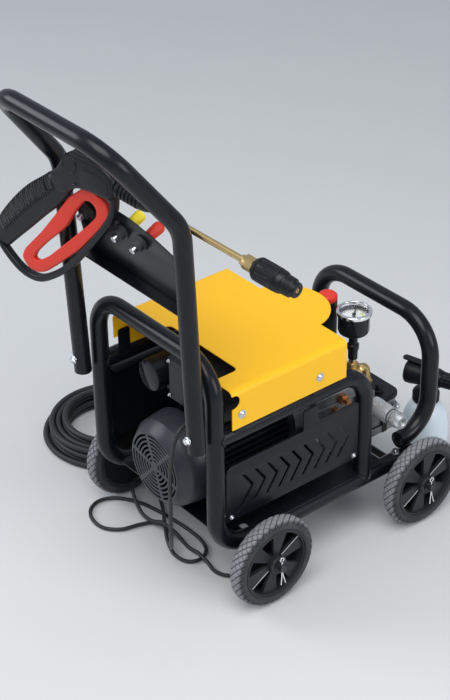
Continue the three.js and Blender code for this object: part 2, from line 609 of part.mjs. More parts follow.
function lance() {
  const bore = 6.3;
  const ribs = [0, 1, 2].flatMap((i) => [[i * 18 + 5, 16.5], [i * 18 + 14, 16.5], [i * 18 + 16, 14.5]]);
  const sleeve = [[0, bore], [0, 16.5], ...ribs, [76, 13], [84, bore], [0, bore]];
  piece("gun_sleeve", turned(sleeve, lancePoint(-180 + GAP), LANCE_WAY, 14), BLACK_PLASTIC);
  const nut = rod(lancePoint(120), lancePoint(NUT_END), 12.5, 6);
  piece("lance_tube", join(rod(lancePoint(-198), lancePoint(130), 5.9, 12), nut), BRASS);
  const head = [[0, 0], [0, 18], [6, 22], [56, 22], [66, 19], [84, 18], [94, 14], [94, 6], [84, 4], [84, 0]];
  piece("lance_head", turned(head, lancePoint(NUT_END + GAP), LANCE_WAY, 20), BLACK_PLASTIC);
}

function gunInlet() {
  const way = gunPoint(-0.62, -0.78).sub(gunPoint(0, 0)).normalize();
  const at = gunPoint(-505, -237).addScaledVector(way, 3);
  const shape = [[0, 0], [0, 9], [6, 9], [6, 12], [20, 12], [20, 8], [34, 8], [34, 0]];
  piece("gun_inlet", turned(shape, at, way, 14), BRASS);
}

// ---------------------------------------------------------------- foam cannon
const FOAM = V(578, -92, 0);

function foamCannon() {
  const bottle = [[0, 0], [0, 46], [4, 52], [80, 54], [120, 50], [150, 36], [160, 24], [160, 0]];
  piece("foam_bottle", turned(bottle, FOAM, Z, 28), BOTTLE);
  const collar = rod(FOAM.clone().setZ(160 + GAP), FOAM.clone().setZ(186), 30, 20);
  const neck = rod(FOAM.clone().setZ(184), FOAM.clone().setZ(215), 16, 16);
  const head = rod(FOAM.clone().add(V(-18, 44, 222)), FOAM.clone().add(V(14, -34, 222)), 24, 20);
  const lever = box(FOAM.x - 8, FOAM.x + 8, FOAM.y - 12, FOAM.y + 52, 243, 251);
  piece("foam_head", join(collar, neck, head, lever), BLACK_PLASTIC);
  const spout = FOAM.clone().add(V(14, -34, 222));
  const way = V(32, -78, 0).normalize();
  piece("foam_fan_nozzle", turned([[0, 0], [0, 18], [26, 18], [30, 12], [44, 8], [44, 0]], spout.addScaledVector(way, GAP), way, 18), BLACK_PLASTIC);
}

// ---------------------------------------------------------------- cords
const CABLE_R = 4;
const HOSE_R = 7;
const GLAND = V(BOX.x0 - GAP, -120, 418);
const LEAD_COIL = V(200, 40, 0); // the lead's spare length, wound up under the base plate
const LEAD_COIL_OUT = 66;
const LEAD_COIL_IN = 31;
const LEAD_COIL_TOP = 17.5;
const PLUG_AT = V(266, -29, 20.6);
const COIL = V(100, 442, 0);
const COIL_OUT = 151;
const COIL_IN = 92;
const COIL_TOP = 59;
const PORT = V(334, PUMP.y1 - 6 + GAP, 228); // where the hose screws onto the pump

// Mains lead: from the gland down to the floor, round its loops there, to the plug behind the near wheel.
const LEAD = [
  V(-66, -120, 418), V(-100, -120, 418), V(-128, -122, 408), V(-146, -124, 378), V(-151, -116, 300),
  V(-150, -113, 220), V(-146, -106, 165), V(-128, -82, 108), V(-98, -40, 56), V(-66, 6, 24), V(-40, 40, 9),
  V(-26, 72, 5), V(-30, 100, 5), V(-62, 117, 5), V(-104, 130, 5), V(-130, 160, 5), V(-130, 200, 5), V(-112, 230, 5),
  V(-84, 242, 5), V(-56, 234, 5), V(-34, 212, 5), V(-16, 178, 5), V(-4, 130, 5), V(3, 80, 5), V(6, 30, 5),
  V(3, -14, 5), V(-10, -44, 5), V(-38, -58, 5), V(-62, -46, 5), V(-69, -12, 6), V(-60, 22, 14), V(-40, 58, 22),
  V(-14, 96, 14), V(10, 134, 10), V(22, 168, 24), V(18, 198, 40), V(0, 210, 48), V(-20, 200, 42), V(-34, 170, 24),
  V(-42, 136, 13), V(-44, 100, 16), V(-41, 66, 30), V(-36, 30, 24), V(-33, -14, 8), V(-33, -46, 13), V(-35, -80, 10),
  V(-38, -110, 6), V(-26, -136, 5), V(4, -148, 5), V(44, -144, 5), V(84, -122, 5), V(118, -88, 5),
  V(146, -54, 5), V(168, -36, 5),
];

function mainsLead() {
  const glandShape = [[0, 4.9], [0, 11], [10, 11], [12, 7.5], [34, 6.9], [34, 4.9], [0, 4.9]];
  piece("cable_gland", turned(glandShape, GLAND, V(-1, 0, 0), 12), BLACK_PLASTIC, { cord: true });
  const join_ = V(LEAD_COIL.x - 8, LEAD_COIL.y - LEAD_COIL_OUT - CABLE_R - 1, 5);
  const way = new THREE.CatmullRomCurve3([GLAND.clone().add(V(-0.5, 0, 0)), ...LEAD, join_], false, "centripetal");
  const lead = new THREE.ExtrudeGeometry(outline(ring(CABLE_R, 8)), { steps: 108, extrudePath: way, bevelEnabled: false });
  piece("mains_lead", lead, RUBBER, { cord: true });
  const o = LEAD_COIL_OUT;
  const i = LEAD_COIL_IN;
  const top = LEAD_COIL_TOP;
  const wound = [[0.5, i + 2], [0.5, o - 2], [4, o], [top - 3, o], [top, o - 3], [top, i + 3], [top - 3, i], [4, i], [0.5, i + 2]];
  piece("mains_coil", turned(wound, LEAD_COIL, Z, 24), RUBBER, { cord: true });
  const plug = [[0, 0], [0, 6], [30, 8], [34, 20], [58, 20], [58, 0]];
  piece("mains_plug", turned(plug, PLUG_AT, X, 16), BLACK_PLASTIC, { cord: true });
}

// High-pressure hose: from the pump's far side between the wheels to the coil on the floor.
function hose() {
  const swivel = [[0, 0], [0, 13], [14, 13], [16, 10], [44, 9], [44, 0]];
  piece("hose_swivel", turned(swivel, PORT, Y, 14), BRASS, { cord: true });
  const start = PORT.clone().add(V(0, 44 + 2 * GAP, 0));
  const route = [start, start.clone().add(V(0, 18, 0)), V(337, 128, 220), V(338, 158, 196), V(337, 188, 174),
    V(324, 214, 150), V(302, 234, 108), V(282, 250, 62), V(266, 274, 22), V(257, 302, 9), V(255, 340, 8),
    V(COIL.x + COIL_OUT + 8.5, 380, 8), V(COIL.x + COIL_OUT + 9, 436, 8)];
  const way = new THREE.CatmullRomCurve3(route, false, "centripetal");
  const run = new THREE.ExtrudeGeometry(outline(ring(HOSE_R, 10)), { steps: 26, extrudePath: way, bevelEnabled: false });
  piece("hose_tube", run, RUBBER, { cord: true });
  const section = [[1, COIL_IN + 5], [1, COIL_OUT - 5], [7, COIL_OUT], [COIL_TOP - 7, COIL_OUT],
    [COIL_TOP, COIL_OUT - 6], [COIL_TOP, COIL_IN + 6], [COIL_TOP - 7, COIL_IN], [7, COIL_IN], [1, COIL_IN + 5]];
  piece("hose_coil", turned(section, COIL, Z, 32), RUBBER, { cord: true });
  const facing = THREE.MathUtils.degToRad(232);
  const at = COIL.clone().add(V(120 * Math.cos(facing), 120 * Math.sin(facing), COIL_TOP + 12.5));
  const nipple = [[0, 0], [0, 9], [30, 9], [30, 12], [52, 12], [52, 0]];
  piece("hose_fitting", turned(nipple, at, V(-Math.sin(facing), Math.cos(facing), 0), 14), BRASS, { cord: true });
}

frame();
bumper();
handle();
nozzlePanel();
sprayNozzle("spray_nozzle_white", NOZZLE_Y[0], CHROME);
sprayNozzle("spray_nozzle_yellow", NOZZLE_Y[1], YELLOW_PLASTIC);
sprayNozzle("spray_nozzle_red", NOZZLE_Y[2], RED_PLASTIC);
hood();
sidePanel("side_panel_right", -1);
sidePanel("side_panel_left", 1);
basePlate();
axle("axle_rear", 0);
axle("axle_front", WHEELBASE);
wheel("rear_right", 0, -1);
wheel("rear_left", 0, 1);
wheel("front_right", WHEELBASE, -1);
wheel("front_left", WHEELBASE, 1);
motor();
fanCover();
fan();
controlBox();
rockerSwitch();
capacitorBox();
pump();
valveBlock();
regulator();
gauge();
inletFilter();
gunBody();
gunTrigger();
lance();
gunInlet();
foamCannon();
mainsLead();
hose();

// The cart's own box, cords left out, is centred on X and Y and stands on z = 0.
washer.updateMatrixWorld(true);
const extent = new THREE.Box3();
washer.children.filter((mesh) => !cords.has(mesh)).forEach((mesh) => extent.expandByObject(mesh, true));
const centre = extent.getCenter(new THREE.Vector3());
washer.children.forEach((mesh) => mesh.geometry.translate(-centre.x, -centre.y, -extent.min.z));

export default washer;
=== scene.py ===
"""A high-pressure washer on a four-wheeled tubular cart, with its gun, spray nozzles, foam cannon and cords.

Sizes are in millimetres from the rear axle: x forward to the bumper, y to the left, z up from the floor.
`Bench` turns them into metres in the row's frame, with the axle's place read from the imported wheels.
"""
from __future__ import annotations

import logging
import math
from dataclasses import dataclass, field
from enum import Enum
from typing import Any, Callable, Iterable, Sequence

import bmesh
import bpy
import numpy as np
from mathutils import Matrix, Vector

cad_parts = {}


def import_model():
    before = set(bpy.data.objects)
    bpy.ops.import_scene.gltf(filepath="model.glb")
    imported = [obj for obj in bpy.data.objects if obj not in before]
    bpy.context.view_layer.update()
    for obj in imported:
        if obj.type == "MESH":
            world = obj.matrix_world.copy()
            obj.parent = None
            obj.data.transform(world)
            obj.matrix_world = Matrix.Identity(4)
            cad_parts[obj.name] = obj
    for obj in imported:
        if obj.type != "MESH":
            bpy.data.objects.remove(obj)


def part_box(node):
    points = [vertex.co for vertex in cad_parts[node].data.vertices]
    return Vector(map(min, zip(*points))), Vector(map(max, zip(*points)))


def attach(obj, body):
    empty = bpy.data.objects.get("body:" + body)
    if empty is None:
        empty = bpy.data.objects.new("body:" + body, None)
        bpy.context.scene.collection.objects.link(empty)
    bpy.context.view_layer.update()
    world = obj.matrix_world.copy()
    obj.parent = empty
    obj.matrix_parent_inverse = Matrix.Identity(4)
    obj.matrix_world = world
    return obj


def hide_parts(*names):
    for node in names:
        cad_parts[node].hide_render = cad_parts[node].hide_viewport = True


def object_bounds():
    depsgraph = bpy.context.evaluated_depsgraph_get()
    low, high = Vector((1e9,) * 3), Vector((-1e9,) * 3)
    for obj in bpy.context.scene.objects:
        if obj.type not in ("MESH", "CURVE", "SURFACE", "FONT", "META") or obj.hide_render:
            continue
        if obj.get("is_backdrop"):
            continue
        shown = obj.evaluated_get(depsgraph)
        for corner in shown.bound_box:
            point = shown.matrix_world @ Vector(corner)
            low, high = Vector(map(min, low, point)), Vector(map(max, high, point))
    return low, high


LOG = logging.getLogger("washer")
Array = np.ndarray
CART = "cart"  # the body that every fixed piece rides on


# ------------------------------------------------------------------ numbers and directions
def vec(*values: float) -> Array:
    """A vector as an array of floats."""
    return np.array(values, float)


def unit(v: Array) -> Array:
    """A vector at length one."""
    return np.asarray(v, float) / np.linalg.norm(v)


X, Y, Z = vec(1, 0, 0), vec(0, 1, 0), vec(0, 0, 1)
MERGE = 2e-6  # points of one mesh that are closer than this, in metres, become one


def circle(count: int) -> Array:
    """Angles spaced evenly round one turn, in radians."""
    return np.linspace(0, 2 * math.pi, count, endpoint=False)


def spokes(angle: Array, u: Array, v: Array) -> Array:
    """The direction at each angle from u towards v: u cos + v sin."""
    return np.cos(angle)[:, None] * u + np.sin(angle)[:, None] * v


def side_of(axis: Array) -> tuple[Array, Array]:
    """Two unit vectors square to an axis and to each other."""
    a = unit(axis)
    start = Z if abs(a[2]) < 0.9 else X
    u = unit(np.cross(start, a))
    return u, np.cross(a, u)


def softened(points: Sequence[Sequence[float]], reach: float, steps: int = 5) -> Array:
    """A closed outline with each corner cut by a quadratic curve that starts and ends `reach` from it."""
    p = np.asarray(points, float)
    before, after = np.roll(p, 1, 0) - p, np.roll(p, -1, 0) - p
    lb, la = np.linalg.norm(before, axis=1), np.linalg.norm(after, axis=1)
    r = np.minimum(reach, np.minimum(lb, la) / 2.1)[:, None]
    a, b = p + before / lb[:, None] * r, p + after / la[:, None] * r
    t = np.linspace(0, 1, steps + 1)[None, :, None]
    curve = a[:, None] * (1 - t) ** 2 + p[:, None] * 2 * t * (1 - t) + b[:, None] * t**2
    return curve.reshape(-1, p.shape[1])


def route(points: Sequence[Array], radii: Sequence[float], step: float = 5.0) -> Array:
    """Straight runs joined by round bends: each corner becomes an arc of its radius that touches both runs.

    Args:
        points: the corners, in millimetres.
        radii: the bend radius at each corner; the two ends' values aren't used.
        step: the arc angle, in degrees, between two stations.
    Returns:
        The stations along the centreline.
    """
    out = [np.asarray(points[0], float)]
    for a, p, b, r in zip(points[:-2], points[1:-1], points[2:], radii[1:-1]):
        u, v = unit(np.subtract(a, p)), unit(np.subtract(b, p))
        turn = math.pi - math.acos(float(np.clip(u @ v, -1, 1)))
        centre = np.asarray(p, float) + unit(u + v) * (r / math.cos(turn / 2))
        first = np.asarray(p, float) + u * (r * math.tan(turn / 2)) - centre
        count = max(2, int(round(math.degrees(turn) / step)))
        angle = np.linspace(0, turn, count + 1)[:, None]
        out.extend(centre + first * np.cos(angle) + (-u) * r * np.sin(angle))
    out.append(np.asarray(points[-1], float))
    return np.array(out)


def smooth_route(points: Sequence[Sequence[float]], step: float) -> Array:
    """A centripetal Catmull-Rom curve through the points, walked at an even step.

    Knots are spaced by the square root of each chord; each span is the cubic blend of its four points.
    """
    p = np.asarray(points, float)
    p = np.vstack([2 * p[0] - p[1], p, 2 * p[-1] - p[-2]])
    knots = np.concatenate([[0], np.cumsum(np.sqrt(np.linalg.norm(np.diff(p, axis=0), axis=1)))])
    fine = []
    for i in range(1, len(p) - 2):
        t0, t1, t2, t3 = knots[i - 1:i + 3]
        t = np.linspace(t1, t2, 24, endpoint=False)[:, None]
        a1 = (t1 - t) / (t1 - t0) * p[i - 1] + (t - t0) / (t1 - t0) * p[i]
        a2 = (t2 - t) / (t2 - t1) * p[i] + (t - t1) / (t2 - t1) * p[i + 1]
        a3 = (t3 - t) / (t3 - t2) * p[i + 1] + (t - t2) / (t3 - t2) * p[i + 2]
        b1 = (t2 - t) / (t2 - t0) * a1 + (t - t0) / (t2 - t0) * a2
        b2 = (t3 - t) / (t3 - t1) * a2 + (t - t1) / (t3 - t1) * a3
        fine.append((t2 - t) / (t2 - t1) * b1 + (t - t1) / (t2 - t1) * b2)
    line = np.vstack([*fine, p[-2][None]])
    return even(line, step)


def even(line: Array, step: float) -> Array:
    """The same line walked at equal arc lengths of about `step`."""
    run = np.concatenate([[0], np.cumsum(np.linalg.norm(np.diff(line, axis=0), axis=1))])
    at = np.linspace(0, run[-1], max(2, int(round(run[-1] / step))) + 1)
    return np.stack([np.interp(at, run, line[:, k]) for k in range(3)], 1)


def arc_length(line: Array) -> float:
    """The length of a polyline."""
    return float(np.linalg.norm(np.diff(line, axis=0), axis=1).sum())


# ------------------------------------------------------------------ surfaces
class Surface:
    """Vertices and faces gathered from parts that are each computed as whole arrays."""

    def __init__(self) -> None:
        """Starts empty."""
        self.points: list[Array] = []
        self.faces: list[list[int]] = []
        self.count = 0

    def add(self, points: Array, faces: Iterable[Sequence[int]]) -> "Surface":
        """Adds a part: its points (n, 3) and faces that index them."""
        self.faces.extend([[int(i) + self.count for i in face] for face in faces])
        self.points.append(np.asarray(points, float).reshape(-1, 3))
        self.count += len(self.points[-1])
        return self

    def grid(self, points: Array, wrap_u: bool = False, wrap_v: bool = True, caps: bool = True) -> "Surface":
        """Adds a grid (rows, columns, 3) of quads; columns may close on themselves, and ends get caps."""
        nu, nv = points.shape[:2]
        i, j = np.meshgrid(np.arange(nu if wrap_u else nu - 1), np.arange(nv if wrap_v else nv - 1),
                           indexing="ij")
        n, m = (i + 1) % nu, (j + 1) % nv
        quads = np.stack([i * nv + j, n * nv + j, n * nv + m, i * nv + m], -1).reshape(-1, 4).tolist()
        if caps and wrap_v and not wrap_u:
            quads.append(list(range(nv)))
            quads.append(list(range((nu - 1) * nv, nu * nv))[::-1])
        return self.add(points.reshape(-1, 3), quads)

    def revolve(self, profile: Sequence[Sequence[float]], origin: Array, axis: Array,
                sides: int = 64) -> "Surface":
        """Turns a profile of (distance along the axis, radius): p = o + a·along + r·(u cos + v sin)."""
        pr = np.asarray(profile, float)
        closed = bool(np.allclose(pr[0], pr[-1]))
        pr = pr[:-1] if closed else pr
        u, v = side_of(axis)
        t = circle(sides)
        spoke = spokes(t, u, v)
        points = origin + pr[:, 0, None, None] * unit(axis) + pr[:, 1, None, None] * spoke[None]
        return self.grid(points, wrap_u=closed, wrap_v=True, caps=not closed)

    def lobed(self, levels: Sequence[tuple[float, float, float]], lobe: Array, origin: Array, axis: Array,
              u: Array,
              v: Array) -> "Surface":
        """Turns a profile of (distance, r, share) whose radius at each angle is r + share·lobe."""
        a = circle(len(lobe))
        return self.grid(np.array([origin + axis * h + (r + share * lobe)[:, None] * spokes(a, u, v)
                                   for h, r, share in levels]))

    def sweep(self, line: Array, radius: Any, sides: int = 32, section: Array | None = None,
              up: Array | None = None) -> "Surface":
        """Carries a round or given section along a line, its sides turned by the least twist at each station.

        Args:
            line: stations (n, 3).
            radius: one radius, or one for each station.
            sides: points round the section.
            section: an outline (m, 2) at unit size in place of a circle.
            up: the section's second direction at the first station.
        Returns:
            The surface itself.
        """
        tangent = np.gradient(line, axis=0)
        tangent /= np.linalg.norm(tangent, axis=1)[:, None]
        first = side_of(tangent[0])[0] if up is None else unit(np.cross(up, tangent[0]))
        sides_u = [first]
        for t in tangent[1:]:
            sides_u.append(unit(sides_u[-1] - t * (sides_u[-1] @ t)))
        u = np.array(sides_u)
        v = np.cross(tangent, u)
        if section is None:
            a = circle(sides)
            section = np.stack([np.cos(a), np.sin(a)], 1)
        r = np.broadcast_to(np.asarray(radius, float), (len(line),))[:, None, None]
        s = np.asarray(section)[None]
        return self.grid(line[:, None] + r * (s[..., 0:1] * u[:, None] + s[..., 1:2] * v[:, None]))

    def prism(self, outline: Sequence[Sequence[float]], depth: float, origin: Array, u: Array,
              v: Array) -> "Surface":
        """A straight prism: the outline in (u, v), pushed `depth` along u × v."""
        o = np.asarray(outline, float)
        w = np.cross(unit(u), unit(v))
        flat = origin + o[:, 0:1] * unit(u) + o[:, 1:2] * unit(v)
        return self.grid(np.stack([flat, flat + depth * w]))

    def box(self, low: Sequence[float], high: Sequence[float]) -> "Surface":
        """A box between two corners."""
        (x0, y0, z0), (x1, y1, z1) = low, high
        return self.prism([(x0, y0), (x1, y0), (x1, y1), (x0, y1)], z1 - z0, vec(0, 0, z0), X, Y)

    def hexagon(self, across: float, height: float, origin: Array, axis: Array) -> "Surface":
        """A hexagon nut's or bolt head's body, with its top and bottom corners turned off."""
        r = across / math.sqrt(3)
        u, v = side_of(axis)
        a = circle(6 * 8)
        edge = r * math.cos(math.pi / 6) / np.cos((a % (math.pi / 3)) - math.pi / 6)
        levels = [(0, across * 0.49), (across * 0.03, r * 1.01), (height - across * 0.03, r * 1.01),
                  (height, across * 0.49)]
        rows = [origin + unit(axis) * h + np.minimum(edge, c)[:, None] * spokes(a, u, v)
                for h, c in levels]
        return self.grid(np.array(rows))


class Bench:
    """Makes Blender objects from millimetres about the rear axle, in the row's frame."""

    def __init__(self) -> None:
        """Reads the rear wheels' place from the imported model."""
        low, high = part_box("tyre_rear_right")
        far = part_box("tyre_rear_left")[1]
        self.zero = vec((low.x + high.x) / 2, (low.y + far.y) / 2, low.z)

    def row(self, points: Array) -> Array:
        """Points in metres in the row's frame."""
        return np.asarray(points, float) / 1000 + self.zero

    def mesh(self, name: str, surface: Surface, material: bpy.types.Material, body: str, slot: str,
             replaces: Sequence[str] = (), bevel: float = 0.0, crease: float = 35.0) -> bpy.types.Object:
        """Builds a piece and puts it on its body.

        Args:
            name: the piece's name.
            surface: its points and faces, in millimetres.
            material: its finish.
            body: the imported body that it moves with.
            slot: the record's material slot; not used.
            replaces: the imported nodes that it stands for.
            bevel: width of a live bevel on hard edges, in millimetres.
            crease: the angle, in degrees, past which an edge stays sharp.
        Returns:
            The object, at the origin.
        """
        data = bpy.data.meshes.new(name)
        data.from_pydata(self.row(np.vstack(surface.points)).tolist(), [], surface.faces)
        bm = bmesh.new()
        bm.from_mesh(data)
        bmesh.ops.remove_doubles(bm, verts=bm.verts, dist=MERGE)
        bmesh.ops.dissolve_degenerate(bm, edges=bm.edges, dist=1e-7)
        bmesh.ops.recalc_face_normals(bm, faces=bm.faces)
        bm.to_mesh(data)
        bm.free()
        return self.dress(name, data, material, body, replaces, bevel, crease)

    def dress(self, name: str, data: bpy.types.Mesh, material: bpy.types.Material, body: str,
              replaces: Sequence[str] = (), bevel: float = 0.0, crease: float = 35.0) -> bpy.types.Object:
        """Makes the object of a finished mesh: smooth faces, sharp edges, its finish and its body."""
        for face in data.polygons:
            face.use_smooth = True
        data.set_sharp_from_angle(angle=math.radians(crease))
        obj = bpy.data.objects.new(name, data)
        bpy.context.scene.collection.objects.link(obj)
        data.materials.clear()
        data.materials.append(material)
        if bevel:
            cut = obj.modifiers.new("edges", "BEVEL")
            cut.width, cut.segments = bevel / 1000, 2
            cut.limit_method, cut.angle_limit = "ANGLE", math.radians(crease)
            cut.harden_normals = True
        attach(obj, body)
        if replaces:
            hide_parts(*replaces)
        LOG.info("%s on %s: %d faces", name, body, len(data.polygons))
        return obj

    def plate(self, name: str, outlines: Sequence[Array], thick: float, edge: float, origin: Array, u: Array,
              v: Array,
              material: bpy.types.Material, body: str, slot: str, replaces: Sequence[str] = (),
              rounds: int = 3) -> bpy.types.Object:
        """A plate with holes: the first outline less the others, `thick` deep about its plane, edges rounded.

        The outlines are filled as one flat curve, pushed both ways and rounded by `edge`, then made a mesh.
        """
        curve = bpy.data.curves.new(name, "CURVE")
        curve.dimensions, curve.fill_mode = "2D", "BOTH"
        curve.extrude = (thick / 2 - edge) / 1000
        curve.bevel_depth, curve.bevel_resolution = edge / 1000, rounds
        curve.offset = -edge / 1000
        for outline in outlines:
            spline = curve.splines.new("POLY")
            o = np.asarray(outline, float) / 1000
            spline.points.add(len(o) - 1)
            spline.points.foreach_set("co", np.column_stack([o, np.zeros(len(o)), np.ones(len(o))]).ravel())
            spline.use_cyclic_u = True
        raw = bpy.data.objects.new(name + "_outline", curve)
        bpy.context.scene.collection.objects.link(raw)
        bpy.context.view_layer.update()
        data = bpy.data.meshes.new_from_object(raw.evaluated_get(bpy.context.evaluated_depsgraph_get()))
        bpy.data.objects.remove(raw)
        bpy.data.curves.remove(curve)
        data.name = name
        u, v = unit(u), unit(v)
        turn = Matrix(np.column_stack([u, v, np.cross(u, v)]).tolist()).to_4x4()
        data.transform(Matrix.Translation(Vector(self.row(origin))) @ turn)
        bm = bmesh.new()
        bm.from_mesh(data)
        bmesh.ops.remove_doubles(bm, verts=bm.verts, dist=MERGE)
        bmesh.ops.recalc_face_normals(bm, faces=bm.faces)
        bm.to_mesh(data)
        bm.free()
        return self.dress(name, data, material, body, replaces, crease=32)


# ------------------------------------------------------------------ shader sums
class Sock:
    """A shader socket that takes part in sums; numbers and other sockets may stand on either side."""

    def __init__(self, sheet: "Sheet", socket: bpy.types.NodeSocket) -> None:
        """Wraps an output socket of a material's sheet."""
        self.sheet = sheet
        self.socket = socket

    def math(self, operation: str, a: Any, b: Any) -> "Sock":
        """A Math node of that operation on the two values."""
        return self.sheet.node("ShaderNodeMath", {"operation": operation}, {0: a, 1: b})

    def __add__(self, other: Any) -> "Sock":
        """self + other."""
        return self.math("ADD", self, other)

    def __radd__(self, other: Any) -> "Sock":
        """other + self."""
        return self.math("ADD", other, self)

    def __sub__(self, other: Any) -> "Sock":
        """self - other."""
        return self.math("SUBTRACT", self, other)

    def __rsub__(self, other: Any) -> "Sock":
        """other - self."""
        return self.math("SUBTRACT", other, self)

    def __mul__(self, other: Any) -> "Sock":
        """self times other."""
        return self.math("MULTIPLY", self, other)

    def __rmul__(self, other: Any) -> "Sock":
        """other times self."""
        return self.math("MULTIPLY", other, self)

    def between(self, low: float, high: float) -> "Sock":
        """0 at low, 1 at high, straight between and held outside."""
        return self.sheet.node("ShaderNodeMapRange", {"clamp": True},
                               {"Value": self, "From Min": low, "From Max": high})

    def out(self, name: str) -> "Sock":
        """Another output of the same node."""
        return Sock(self.sheet, self.socket.node.outputs[name])


class Sheet:
    """A material's node tree, with one method that makes any node."""

    def __init__(self, name: str) -> None:
        """Starts a material that holds only its output."""
        self.material = bpy.data.materials.new(name)
        self.material.use_nodes = True
        self.tree = self.material.node_tree
        self.tree.nodes.clear()
        self.output = self.tree.nodes.new("ShaderNodeOutputMaterial")

    def node(self, kind: str, settings: dict[str, Any] | None = None,
             inputs: dict[Any, Any] | None = None) -> Sock:
        """Makes a node.

        Args:
            kind: the node's type.
            settings: its own settings, set before its inputs.
            inputs: the value or linked `Sock` of each input, by name or number.
        Returns:
            Its first enabled output.
        """
        made = self.tree.nodes.new(kind)
        for key, value in (settings or {}).items():
            setattr(made, key, value)
        for key, value in (inputs or {}).items():
            put = made.inputs[key]
            if isinstance(value, Sock):
                self.tree.links.new(value.socket, put)
            elif isinstance(value, (tuple, list)) and len(value) == 3 and put.type == "RGBA":
                put.default_value = (*value, 1.0)
            else:
                put.default_value = value
        return Sock(self, next(o for o in made.outputs if o.enabled))

    def place(self) -> Sock:
        """The point on the piece, in metres: Object coordinates."""
        return self.node("ShaderNodeTexCoord").out("Object")

    def noise(self, scale: float, detail: float = 3.0, rough: float = 0.55,
              stretch: tuple | None = None) -> Sock:
        """Noise from 0 to 1 over the piece; `stretch` scales each axis of the pattern."""
        at = self.place()
        if stretch:
            at = self.node("ShaderNodeMapping", {}, {"Vector": at, "Scale": stretch})
        return self.node("ShaderNodeTexNoise", {}, {"Vector": at, "Scale": scale, "Detail": detail,
                                                    "Roughness": rough})

    def mix(self, factor: Any, a: Any, b: Any) -> Sock:
        """Colour a where the factor is 0 and b where it is 1, by the Mix node's colour form."""
        made = self.tree.nodes.new("ShaderNodeMix")
        made.data_type = "RGBA"
        for put, value in zip((made.inputs[0], made.inputs[6], made.inputs[7]), (factor, a, b)):
            if isinstance(value, Sock):
                self.tree.links.new(value.socket, put)
            else:
                put.default_value = (*value, 1.0) if isinstance(value, (tuple, list)) else value
        return Sock(self, made.outputs[2])

    def bump(self, height: Sock, depth: float, strength: float = 1.0, under: Sock | None = None) -> Sock:
        """A normal from a height of 0 to 1 that stands `depth` metres, over another bump if there is one."""
        inputs: dict[Any, Any] = {"Height": height, "Distance": depth, "Strength": strength}
        if under is not None:
            inputs["Normal"] = under
        return self.node("ShaderNodeBump", {}, inputs)

    def finish(self, inputs: dict[str, Any]) -> bpy.types.Material:
        """Ends the sheet in a Principled shader with these inputs."""
        shader = self.node("ShaderNodeBsdfPrincipled", {}, inputs)
        self.tree.links.new(shader.socket, self.output.inputs["Surface"])
        return self.material


Colour = tuple[float, float, float]


@dataclass(frozen=True)
class Paint:
    """Powder or wet paint on steel: faint orange peel, a thin film of dust and small scuffs."""

    name: str
    colour: Colour
    worn: Colour
    roughness: float = 0.3
    peel: float = 0.00004
    coat: float = 0.6
    shine: float = 0.4

    def make(self) -> bpy.types.Material:
        """Builds the finish."""
        s = Sheet(self.name)
        patches = s.noise(9.0, 4.0).between(0.35, 0.75)
        scuffs = s.noise(160.0, 5.0, 0.7).between(0.62, 0.74) * patches
        peel = s.noise(420.0, 1.5)
        dust = s.noise(38.0, 6.0, 0.65).between(0.5, 0.9)
        colour = s.mix(scuffs * 0.15, self.colour, self.worn)
        colour = s.mix(dust * 0.012, colour, (0.45, 0.43, 0.40))
        return s.finish({"Base Color": colour,
                         "Roughness": self.roughness + patches * 0.06 + scuffs * 0.14 + dust * 0.05,
                         "Normal": s.bump(peel, self.peel, 0.5), "Coat Weight": self.coat,
                         "Coat Roughness": 0.16,
                         "Specular IOR Level": self.shine})


@dataclass(frozen=True)
class Plastic:
    """Moulded plastic: fine spark texture, faint flow marks and rubbed places."""

    name: str
    colour: Colour
    roughness: float = 0.45
    grain: float = 0.00005
    scale: float = 900.0

    def make(self) -> bpy.types.Material:
        """Builds the finish."""
        s = Sheet(self.name)
        flow = s.noise(14.0, 3.0)
        grain = s.noise(self.scale, 2.0)
        rubbed = s.noise(60.0, 5.0, 0.7).between(0.55, 0.8)
        light = tuple(min(1.0, c * 1.3 + 0.005) for c in self.colour)
        colour = s.mix(flow * 0.3 + rubbed * 0.25, self.colour, light)
        return s.finish({"Base Color": colour, "Roughness": self.roughness + flow * 0.08 - rubbed * 0.08,
                         "Specular IOR Level": 0.28, "Normal": s.bump(grain, self.grain, 0.6)})


@dataclass(frozen=True)
class Rubber:
    """Black rubber with bloom, dry dust and a soft skin; a tread's lands may be lightened for wear and a painted
    highlight.
    """

    name: str
    colour: Colour = (0.018, 0.018, 0.019)
    dust: Colour = (0.16, 0.16, 0.165)
    dusty: float = 0.5
    roughness: float = 0.62
    # how far a tread's lands turn pale grey: wear and dust, and a painted highlight on the raised tread
    worn: float = 0.0

    def make(self) -> bpy.types.Material:
        """Builds the finish."""
        s = Sheet(self.name)
        broad = s.noise(22.0, 4.0).between(0.3, 0.75)
        fine = s.noise(500.0, 4.0, 0.7)
        colour = s.mix(broad * fine * self.dusty, self.colour, self.dust)
        # the lands lightened to pale grey: partly wear, partly a painted highlight on the raised tread
        if self.worn:
            tread = s.node("ShaderNodeAttribute", {"attribute_name": "tread"}).out("Fac")
            colour = s.mix(tread * (fine * 0.5 + 0.5) * self.worn, colour, (0.34, 0.35, 0.37))
        return s.finish({"Base Color": colour, "Roughness": self.roughness + fine * 0.15,
                         "Normal": s.bump(fine, 0.00008, 0.5)})


class Grain(Enum):
    """How a metal's surface was left."""

    CAST = "cast"
    BRUSHED = "brushed"
    POLISHED = "polished"


